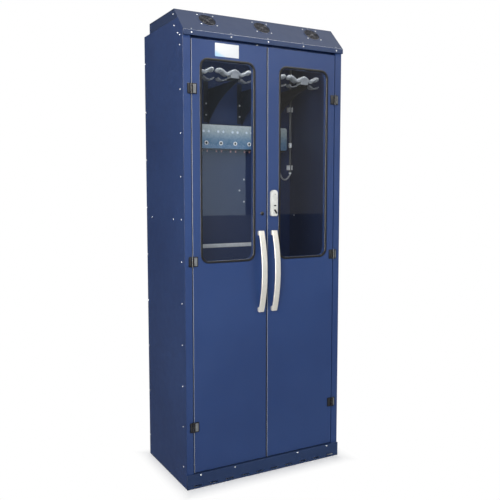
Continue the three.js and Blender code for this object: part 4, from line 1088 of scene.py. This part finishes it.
def hingeLeaf(side, centre, onDoor):
    # plate, raised pad and this leaf's share of the knuckles; even ones are the frame's
    inward = -side if onDoor else side
    width = hinge["doorLeaf"] if onDoor else hinge["frameLeaf"]
    axis = side * hinge["x"]
    barrel = Matrix.Translation(at(axis, hinge["depth"], 0))
    low, high = centre - hinge["height"] / 2, centre + hinge["height"] / 2
    gap, inset = hinge["gap"], hinge["padInset"]
    front = -gap - hinge["plate"]
    start = axis + inward * (hinge["radius"] + hinge["clear"])
    end = axis + inward * width
    padX = (start + inward * hinge["padStart"], end - inward * inset)
    padDepths = (front - hinge["padProud"], front + 0.0005)
    padZ = (low + inset, high - inset)
    parts = [
        block((start, end), (front, -gap), (low, high), corner=hinge["corner"], edge=0.0006),
        (block(padX, padDepths, padZ, corner=hinge["padCorner"], edge=0.0005), None, 1),
    ]
    step = hinge["height"] / hinge["knuckles"]
    for index in range(1 if onDoor else 0, hinge["knuckles"], 2):
        ends = (low + index * step + gap / 2, low + (index + 1) * step - gap / 2)
        web = (axis + inward * overlap, start + inward * overlap)
        parts += [(knuckle(*ends), barrel), block(web, (hinge["depth"] - overlap, -gap), ends)]
    if not onDoor:
        pin, top = hinge["pin"], high + hinge["pinProud"]
        profile = [(0, high), (pin, high), (pin, top - 0.0005), (0.0028, top), (0, top)]
        parts.append((turned(profile, 16), barrel))
    return parts


def makeHinges():
    for name, side in sides.items():
        # the pad to the right of each barrel is pale as painted highlight, the other dark as painted shade
        litPad, shadedPad = "hingePadPaintedHighlight", "hingePadPaintedShade"
        onDoor, onFrame = (litPad, shadedPad) if name == "left" else (shadedPad, litPad)
        for number in range(1, 4):
            doorNode = f"{name}_hinge_door_leaf_{number}"
            low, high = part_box(doorNode)
            centre = (low.z + high.z) / 2
            makePiece(
                f"{name}DoorHinge{number}", hingeLeaf(side, centre, True), f"{name}_door",
                ["hingePlastic", onDoor], [doorNode],
            )
            makePiece(
                f"{name}FrameHinge{number}", hingeLeaf(side, centre, False), "body",
                ["hingePlastic", onFrame], [f"{name}_hinge_frame_leaf_{number}"],
            )


handle = {
    "offset": 0.039, "width": 0.031, "thick": 0.009, "proud": 0.05, "endProud": 0.015,
    "bottom": 0.86, "top": 1.277, "round": 0.0035, "gap": 0.0003, "steps": 44,
    "foot": 0.024, "footInset": 0.001, "footCorner": 0.004, "footEdge": 0.001,
}


def handleBow():
    # a section with round corners, spun through a shallow arc
    length = handle["top"] - handle["bottom"]
    rise = handle["proud"] - handle["endProud"]
    radius = (length ** 2 / 4 + rise ** 2) / (2 * rise)
    reach = math.asin(length / 2 / radius)
    middle = (handle["top"] + handle["bottom"]) / 2
    centre = at(0, radius - handle["proud"], middle)
    section = at(0, handle["thick"] / 2 - handle["proud"], middle)
    bm = sheet(Matrix.Translation(section) @ Matrix.Diagonal((handle["width"], handle["thick"], 1, 1)))
    roundOff(bm, bm.verts[:], handle["round"], 5, "VERTICES")
    bmesh.ops.rotate(bm, verts=bm.verts, cent=centre, matrix=Matrix.Rotation(reach, 3, "X"))
    sweep = {"cent": centre, "axis": (1, 0, 0), "angle": -2 * reach, "steps": handle["steps"]}
    bmesh.ops.spin(bm, geom=bm.verts[:] + bm.edges[:] + bm.faces[:], **sweep)
    bmesh.ops.remove_doubles(bm, verts=bm.verts, dist=1e-6)
    rims = [edge for edge in bm.edges if len(edge.link_faces) == 1]
    if rims:
        bmesh.ops.holes_fill(bm, edges=rims, sides=0)
    bmesh.ops.recalc_face_normals(bm, faces=bm.faces)
    return looseMesh(bm)


def handleFoot(bottom, top):
    half = handle["width"] / 2
    depths = (-handle["endProud"] + overlap, -handle["gap"])
    return block((-half, half), depths, (bottom, top), corner=handle["footCorner"], edge=handle["footEdge"])


def makeHandles():
    bottom, top, foot, inset = [handle[key] for key in ("bottom", "top", "foot", "footInset")]
    for name, side in sides.items():
        shift = Matrix.Translation((side * handle["offset"], 0, 0))
        feet = [handleFoot(bottom + inset, bottom + foot), handleFoot(top - foot, top - inset)]
        makePiece(
            f"{name}PullHandle", [(mesh, shift) for mesh in [handleBow(), *feet]], f"{name}_door",
            "handleAlloy", [f"{name}_handle"], 35,
        )


lock = {
    "x": 0.038, "middle": 0.0365, "width": 0.038, "bottom": 1.35, "top": 1.483, "proud": 0.018,
    "gap": 0.0003, "lowCorner": 0.009, "topCorner": 0.0175, "edge": 0.0035,
    "spindleZ": 1.374, "spindle": 0.004, "turnRadius": 0.012, "turnProud": 0.004,
    "gripHalf": 0.0042, "gripReach": 0.0125, "gripProud": 0.005, "gripCorner": 0.004, "gripTilt": 35,
    "slotZ": 1.404, "slotHalfX": 0.007, "slotHalfZ": 0.0032, "lampZ": 1.462,
    "capX": -0.028, "capZ": 1.364, "capRadius": 0.01, "stem": 0.003, "backPlate": 0.0012,
}


def lockShell():
    half, middle = lock["width"] / 2, lock["middle"]
    low = at(middle - half, -lock["proud"], lock["bottom"])
    high = at(middle + half, -lock["gap"], lock["top"])
    bm = bar(low, high)
    for upper, corner in ((False, lock["lowCorner"]), (True, lock["topCorner"])):
        rims = [
            edge for edge in bm.edges
            if runsAlong(edge, 1) and (edge.verts[0].co.z > (low.z + high.z) / 2) == upper
            and edge.calc_length() > 0.01 and abs(abs(edge.verts[0].co.x - middle) - half) < 1e-5
        ]
        roundOff(bm, rims, corner, 8)
    front = [e for e in sharpEdges(bm, 60) if all(v.co.y < low.y + 1e-5 for v in e.verts)]
    roundOff(bm, front, lock["edge"], 4)
    return looseMesh(bm)


def makeLock():
    # case with a slot, a ring round the turn and a small lens
    x, face = lock["x"], -lock["proud"]
    slotX = (x - lock["slotHalfX"], x + lock["slotHalfX"])
    slotZ = (lock["slotZ"] - lock["slotHalfZ"], lock["slotZ"] + lock["slotHalfZ"])
    ring = [(0.0155, 0), (0.0155, 0.0006), (0.0145, 0.0011), (0.0135, 0.0006), (0.0135, 0)]
    lens = [(0, 0), (0.0022, 0), (0.0018, 0.0008), (0, 0.0012)]
    parts = [
        lockShell(),
        (block(slotX, (face - 0.0004, face + overlap), slotZ, corner=0.002), None, 1),
        (turned(ring, 32), onFront(x, face, lock["spindleZ"])),
        (turned(lens, 16), onFront(x, face, lock["lampZ"]), 1),
    ]
    materials = ["silverPlastic", "blackPlastic"]
    makePiece("lockCase", parts, "right_door", materials, ["lock_housing"])


def makeLockTurn():
    x, z = lock["x"], lock["spindleZ"]
    radius, proud = lock["turnRadius"], lock["turnProud"]
    profile = [
        (0, 0.0003), (radius, 0.0003), (radius, proud - 0.001), (radius - 0.001, proud), (0, proud),
    ]
    front = onFront(x, -lock["proud"], z)
    low = Vector((-lock["gripHalf"], -lock["gripReach"], proud - overlap))
    high = Vector((lock["gripHalf"], lock["gripReach"], proud + lock["gripProud"]))
    tilt = Matrix.Rotation(math.radians(lock["gripTilt"]), 4, "Z")
    spindleEnd = at(x, depthsOf("lock_knob")[1], z)
    parts = [
        (turned(profile, 32), front),
        (slab(low, high, corner=lock["gripCorner"], axis=2, edge=0.001), front @ tilt, 1),
        rod(lock["spindle"], at(x, -lock["proud"], z), spindleEnd, 16),
    ]
    makePiece("lockTurn", parts, "lock", ["silverPlastic", "blackPlastic"], ["lock_knob"])


def makeStrike():
    # domed cap, its stem, and the plate behind the door
    x, z, radius = lock["capX"], lock["capZ"], lock["capRadius"]
    profile = [
        (0, 0.0003), (radius, 0.0003), (radius, 0.0016), (radius * 0.92, 0.0032), (radius * 0.7, 0.0046),
        (radius * 0.38, 0.0055), (0, 0.0058),
    ]
    low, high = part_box("strike_plate")
    rear = depthsOf("strike_plate")[1]
    parts = [
        (turned(profile, 28), onFront(x, 0, z)),
        rod(lock["stem"], at(x, -overlap, z), at(x, rear - 0.0008, z), 16),
        slab(at(low.x, rear - lock["backPlate"], low.z), high, corner=0.003, edge=0.0004),
    ]
    makePiece("strikeCap", parts, "left_door", "blackPlastic", ["strike_plate"])


bolt = {
    "x": -0.052, "depth": 0.01235, "radius": 0.004, "stubZ": 2.126, "stubRadius": 0.0034,
    "stubReach": 0.011,
}


def makeBolt():
    low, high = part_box("top_bolt")
    x, depth, radius, stubZ = bolt["x"], bolt["depth"], bolt["radius"], bolt["stubZ"]
    profile = [
        (0, low.z), (radius - 0.0005, low.z), (radius, low.z + 0.0005), (radius, high.z - 0.002),
        (radius - 0.0015, high.z - 0.0004), (radius - 0.0024, high.z), (0, high.z),
    ]
    rear = depthsOf("left_door_panel")[1] + bolt["stubReach"]
    stub = rod(bolt["stubRadius"], at(x, depth, stubZ), at(x, rear, stubZ), 16)
    shaft = (turned(profile), Matrix.Translation(at(x, depth, 0)))
    makePiece("topBoltRod", [shaft, stub], "bolt", "silverPlastic", ["top_bolt"])


hanger = {
    "seat": 2.052, "front": 0.1421, "rear": 0.1933, "pedestal": 0.024,
    "halfSpan": 0.082, "crestRise": 0.038, "swell": 0.009, "bar": 0.018, "round": 0.007, "slices": 47,
    "tip": 0.014, "tipDepth": 0.032, "tipOut": 0.002, "tipDrop": 0.001, "voxel": 0.0016, "smoothing": 8,
    "lip": [
        (0.02, 0.004), (0.04, 0.0015), (0.052, -0.008), (0.062, -0.0115), (0.083, -0.0115),
        (0.094, -0.0005),
    ],
    "lipInset": 0.004, "lipBend": 0.006, "lipThick": 0.0042, "lipEdge": 0.0014,
}
bracket = {
    "thick": 0.003, "web": 0.0125, "flange": 0.028, "seatHalf": 0.03, "seatDeep": 0.072,
    "nose": 0.014, "foot": 0.008, "bend": (0.36, 0.68), "steps": 28,
}


def hangerBar(x):
    # a bar with a rounded section, cut into slices that follow two waves
    crest = hanger["seat"] + hanger["crestRise"]
    low = at(x - hanger["halfSpan"], hanger["front"], crest - hanger["bar"] / 2)
    high = at(x + hanger["halfSpan"], hanger["rear"], crest + hanger["bar"] / 2)
    bm = bar(low, high)
    roundOff(bm, [e for e in bm.edges if runsAlong(e, 0)], hanger["round"], 5)
    lengthwise = [e for e in bm.edges if runsAlong(e, 0)]
    bmesh.ops.subdivide_edges(bm, edges=lengthwise, cuts=hanger["slices"], use_grid_fill=False)
    for vert in bm.verts:
        phase = 2 * math.pi * (vert.co.x - x) / hanger["halfSpan"]
        vert.co.z += hanger["swell"] * (math.cos(phase) - 1)
    return looseMesh(bm)


def hangerTip(x, side):
    middle = (hanger["front"] + hanger["rear"]) / 2
    crest = hanger["seat"] + hanger["crestRise"] - hanger["tipDrop"]
    bm = bmesh.new()
    centre = Matrix.Translation(at(x + side * (hanger["halfSpan"] + hanger["tipOut"]), middle, crest))
    size = Matrix.Diagonal((hanger["tip"], hanger["tipDepth"], hanger["tip"] * 0.95, 1))
    bmesh.ops.create_uvsphere(bm, u_segments=24, v_segments=16, radius=1, matrix=centre @ size)
    return looseMesh(bm)


def moulded(parts):
    # joins overlapping shapes into one skin and rounds what lies between them
    bm = bmesh.new()
    for mesh in parts:
        bm.from_mesh(mesh)
    lump = addObject("moulding", looseMesh(bm))
    skin = lump.modifiers.new("skin", "REMESH")
    skin.mode = "VOXEL"
    skin.voxel_size = hanger["voxel"]
    soften = lump.modifiers.new("soften", "SMOOTH")
    soften.factor = 0.5
    soften.iterations = hanger["smoothing"]
    graph = bpy.context.evaluated_depsgraph_get()
    mesh = bpy.data.meshes.new_from_object(lump.evaluated_get(graph))
    bpy.data.objects.remove(lump)
    return mesh


def hangerLip(x, side):
    # a thin tongue that dips under the arm and turns up at its end
    bm = bmesh.new()
    start, end = hanger["front"] + hanger["lipInset"], hanger["rear"] - hanger["lipInset"]
    points = [bm.verts.new(at(x + side * dx, start, hanger["seat"] + dz)) for dx, dz in hanger["lip"]]
    edges = [bm.edges.new(pair) for pair in zip(points, points[1:])]
    grown = bmesh.ops.extrude_edge_only(bm, edges=edges)
    made = [item for item in grown["geom"] if isinstance(item, bmesh.types.BMVert)]
    bmesh.ops.translate(bm, verts=made, vec=(0, end - start, 0))
    bends = [e for e in bm.edges if runsAlong(e, 1) and len(e.link_faces) == 2]
    roundOff(bm, bends, hanger["lipBend"], 4)
    bmesh.ops.recalc_face_normals(bm, faces=bm.faces)
    if sum(face.normal.z for face in bm.faces) <= 0:
        bmesh.ops.reverse_faces(bm, faces=bm.faces[:])
    bmesh.ops.solidify(bm, geom=bm.faces[:], thickness=hanger["lipThick"])
    bmesh.ops.recalc_face_normals(bm, faces=bm.faces)
    roundOff(bm, sharpEdges(bm, 60), hanger["lipEdge"], 2)
    return looseMesh(bm)


def makeHangers():
    half = hanger["pedestal"]
    heights = (hanger["seat"] + 0.0005, hanger["seat"] + hanger["crestRise"])
    for number in hangerNumbers:
        node = f"scope_hanger_{number}"
        x = middleX(node)
        depths = (hanger["front"], hanger["rear"])
        pedestal = block((x - half, x + half), depths, heights, corner=0.006, axis=2, edge=0.002)
        mesh = moulded([hangerBar(x), hangerTip(x, -1), hangerTip(x, 1), pedestal])
        dress(mesh, f"scopeHanger{number}", "body", "hangerPlastic", [node], 180)
        lips = [hangerLip(x, -1), hangerLip(x, 1)]
        makePiece(f"hangerLips{number}", lips, "body", "greyPlastic")


def bracketWeb(x, low, high):
    # a gusset whose lower edge is one hollow curve from the nose to the foot
    seat = hanger["seat"] - bracket["thick"]
    nose, rear = low.y - frontY, high.y - frontY
    start = Vector((nose, seat - bracket["nose"]))
    end = Vector((rear - bracket["foot"], low.z))
    back, up = bracket["bend"]
    pull = Vector((rear - back * (rear - nose), low.z + up * (seat - low.z)))
    outline = [Vector((rear, low.z)), Vector((rear, seat)), Vector((nose, seat))]
    for step in range(bracket["steps"] + 1):
        share = step / bracket["steps"]
        outline.append(start * (1 - share) ** 2 + pull * 2 * share * (1 - share) + end * share ** 2)
    bm = bmesh.new()
    side = x + bracket["web"] - bracket["thick"] / 2
    face = bm.faces.new([bm.verts.new(at(side, depth, z)) for depth, z in outline])
    grown = bmesh.ops.extrude_face_region(bm, geom=[face], use_keep_orig=True)
    moveCopy(bm, grown, (bracket["thick"], 0, 0))
    roundOff(bm, sharpEdges(bm, 60), 0.0004, 2)
    return looseMesh(bm)


def makeBrackets():
    thick, half, seat = bracket["thick"], bracket["seatHalf"], hanger["seat"]
    for number in hangerNumbers:
        node = f"hanger_bracket_{number}"
        x = middleX(f"scope_hanger_{number}")
        low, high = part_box(node)
        nose, rear = depthsOf(node)
        web = x + bracket["web"]
        flangeX = (web - bracket["flange"], web + thick / 2)
        flangeZ = (low.z + bracket["foot"], high.z)
        seatDepths = (nose, nose + bracket["seatDeep"])
        parts = [
            bracketWeb(x, low, high),
            block(flangeX, (rear - thick, rear), flangeZ, corner=0.004, edge=0.0004),
            block((x - half, x + half), seatDepths, (seat - thick, seat), corner=0.005, axis=2, edge=0.0004),
        ]
        makePiece(f"hangerBracket{number}", parts, "body", "blackPaint", [node])


manifold = {
    "corner": 0.013, "plate": 0.002, "spacing": 0.09, "stations": 8, "portZ": 1.745, "discZ": 1.809,
    "discSpread": 0.016, "discRadius": 0.007, "portRadius": 0.012, "portBore": 0.0064, "portProud": 0.005,
    "outletDepth": 0.46296, "outletRadius": 0.0045, "outletLength": 0.012, "boxCorner": 0.011,
}


def stationPlaces():
    middle = (manifold["stations"] - 1) / 2
    return [(index - middle) * manifold["spacing"] for index in range(manifold["stations"])]


def makeManifold():
    # enamelled plate with a port and two small discs at each station
    low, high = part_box("manifold_face")
    outer, bore, proud = manifold["portRadius"], manifold["portBore"], manifold["portProud"]
    spread = manifold["discSpread"]
    face = low.y - frontY + proud
    depths = (face, face + manifold["plate"])
    plate = block((low.x, high.x), depths, (low.z, high.z), corner=manifold["corner"], edge=0.0005)
    ring = [
        (bore, 0), (outer, 0), (outer, proud - 0.0015), (outer - 0.0015, proud), (bore + 0.001, proud),
        (bore, proud - 0.001), (bore, 0),
    ]
    well = [(0, 0.0004), (bore + 0.0001, 0.0004), (bore + 0.0001, 0.001), (0, 0.001)]
    disc = [(0, 0), (manifold["discRadius"], 0), (manifold["discRadius"] - 0.0006, 0.0009), (0, 0.001)]
    parts = [plate]
    for x in stationPlaces():
        port = onFront(x, face, manifold["portZ"])
        parts += [(turned(ring, 28), port, 1), (turned(well, 20), port, 2)]
        for shift in (-spread, spread):
            parts.append((turned(disc), onFront(x + shift, face, manifold["discZ"]), 3))
    materials = ["manifoldEnamel", "whitePlastic", "rubber", "palePlastic"]
    makePiece("manifoldPlate", parts, "body", materials, ["manifold_face"])


def makeManifoldBox():
    # box with two barbed outlets under each station
    low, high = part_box("manifold_body")
    length, radius, spread = manifold["outletLength"], manifold["outletRadius"], manifold["discSpread"]
    underside = low.z + length - overlap
    barbs = [
        (0, 0), (radius + 0.001, 0), (radius + 0.001, 0.002), (radius - 0.001, 0.0025),
        (radius - 0.001, 0.005), (radius, 0.0055), (radius - 0.0012, 0.008), (radius - 0.0006, 0.0085),
        (radius - 0.0018, length - overlap), (0, length - overlap),
    ]
    base = Vector((low.x, low.y, underside))
    parts = [slab(base, high, corner=manifold["boxCorner"], edge=0.0012)]
    for x in stationPlaces():
        for shift in (-spread, spread):
            spot = at(x + shift, manifold["outletDepth"], underside)
            parts.append((turned(barbs, 18), facing(spot, (0, 0, -1)), 1))
    materials = ["blackPlastic", "pinkPlastic"]
    makePiece("manifoldBox", parts, "body", materials, ["manifold_body"])


# drops: share of the way from start to end, and how far below the manifold
hose = {
    "start": (0.352, 0.46296), "end": (0.44, 0.478), "underside": 1.708, "radius": 0.005, "length": 0.25,
    "drops": [
        (0, 0.0003), (0, 0.015), (0, 0.045), (0.011, 0.078), (0.045, 0.108), (0.136, 0.134), (0.295, 0.154),
        (0.5, 0.162), (0.705, 0.157), (0.875, 0.144), (0.983, 0.134), (1, 0.125), (1, 0.1183),
    ],
}
riser = {
    "x": 0.44, "depth": 0.478, "bottom": 1.59, "top": 2.255, "radius": 0.007, "fittingZ": 1.751,
    "bend": 0.015, "bendPull": 0.55, "footPull": 0.02,  # pulls: how far the curve's handles reach
}


def tubeCurve(name, radius, roundness, steps, material, points):
    curve = bpy.data.curves.new(name, "CURVE")
    curve.dimensions = "3D"
    curve.bevel_depth = radius
    curve.bevel_resolution = roundness
    curve.use_fill_caps = True
    curve.materials.append(finish[material])
    spline = curve.splines.new("BEZIER")
    spline.resolution_u = steps
    spline.bezier_points.add(len(points) - 1)
    for knot, point in zip(spline.bezier_points, points):
        knot.co = point
    return curve, spline.bezier_points


def makeHose():
    x0, depth0 = hose["start"]
    x1, depth1 = hose["end"]
    points = [
        at(x0 + share * (x1 - x0), depth0 + share * (depth1 - depth0), hose["underside"] - drop)
        for share, drop in hose["drops"]
    ]
    curve, knots = tubeCurve("airHose", hose["radius"], 4, 10, "hoseVinyl", points)
    for knot in knots:
        knot.handle_left_type = knot.handle_right_type = "AUTO"
    piece = addPiece("airHose", curve, "body", ["air_hose"])


def makeRiser():
    x, depth, top, bend = riser["x"], riser["depth"], riser["top"], riser["bend"]
    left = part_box("riser_tube")[0].x
    points = [at(x, depth, riser["bottom"]), at(x, depth, top - bend), at(left, depth, top)]
    pull = bend * riser["bendPull"]
    reaches = [Vector((0, 0, riser["footPull"])), Vector((0, 0, pull)), Vector((-pull, 0, 0))]
    curve, knots = tubeCurve("riserTube", riser["radius"], 5, 12, "clearTube", points)
    for knot, reach in zip(knots, reaches):
        knot.handle_left = knot.co - reach
        knot.handle_right = knot.co + reach
    addPiece("riserTube", curve, "body", ["riser_tube"])


def makeFittings():
    # a collar on the riser and a cuff at each end of the hose
    collar = [
        (0.0072, -0.014), (0.0092, -0.014), (0.01, -0.012), (0.01, -0.004), (0.0114, -0.003),
        (0.0114, 0.003), (0.01, 0.004), (0.01, 0.012), (0.0092, 0.014), (0.0072, 0.014), (0.0072, -0.014),
    ]
    cuff = [
        (0.0052, 0), (0.0074, 0), (0.0078, 0.0006), (0.0078, 0.0085), (0.007, 0.0105), (0.0052, 0.0105),
        (0.0052, 0),
    ]
    parts = [(turned(collar), Matrix.Translation(at(riser["x"], riser["depth"], riser["fittingZ"])))]
    for spot in (at(*hose["start"], hose["underside"]), at(*hose["end"], riser["bottom"])):
        parts.append((turned(cuff), facing(spot, (0, 0, -1))))
    makePiece("hoseFittings", parts, "body", "whitePlastic")


def makeClips():
    for number in (1, 2):
        node = f"tube_clip_{number}"
        bm = mergedCopy(node)
        roundOff(bm, [e for e in sharpEdges(bm) if e.is_convex], 0.0007, 2)
        makePiece(f"tubeClip{number}", [looseMesh(bm)], "body", "whitePlastic", [node])


plates = {
    "label": {"x": (-0.2906, -0.1615), "z": (2.1215, 2.184), "proud": 0.0009},
    "strip": {"x": (-0.257, 0.257), "z": (1.153, 1.175), "proud": 0.0014},
}


def makePlates():
    label, strip = plates["label"], plates["strip"]
    finish["labelFilm"] = labelFilm(label["x"], label["z"])
    plate = block(label["x"], (-label["proud"], -0.0001), label["z"], corner=0.002, edge=0.0003)
    makePiece("doorLabelPlate", [plate], "left_door", "labelFilm")
    depths = (wallDepth - strip["proud"], wallDepth)
    plate = block(strip["x"], depths, strip["z"], corner=0.002, edge=0.0004)
    makePiece("wallStrip", [plate], "body", "whitePlastic")


makeFans()
makeRivets()
makeInnerScrews()
print("fans and fasteners made")
makeHinges()
makeHandles()
makeLock()
makeLockTurn()
makeStrike()
makeBolt()
print("door fittings made")
makeHangers()
makeBrackets()
makeManifold()
makeManifoldBox()
makeHose()
makeRiser()
makeFittings()
makeClips()
makePlates()
print("chamber fitted out")
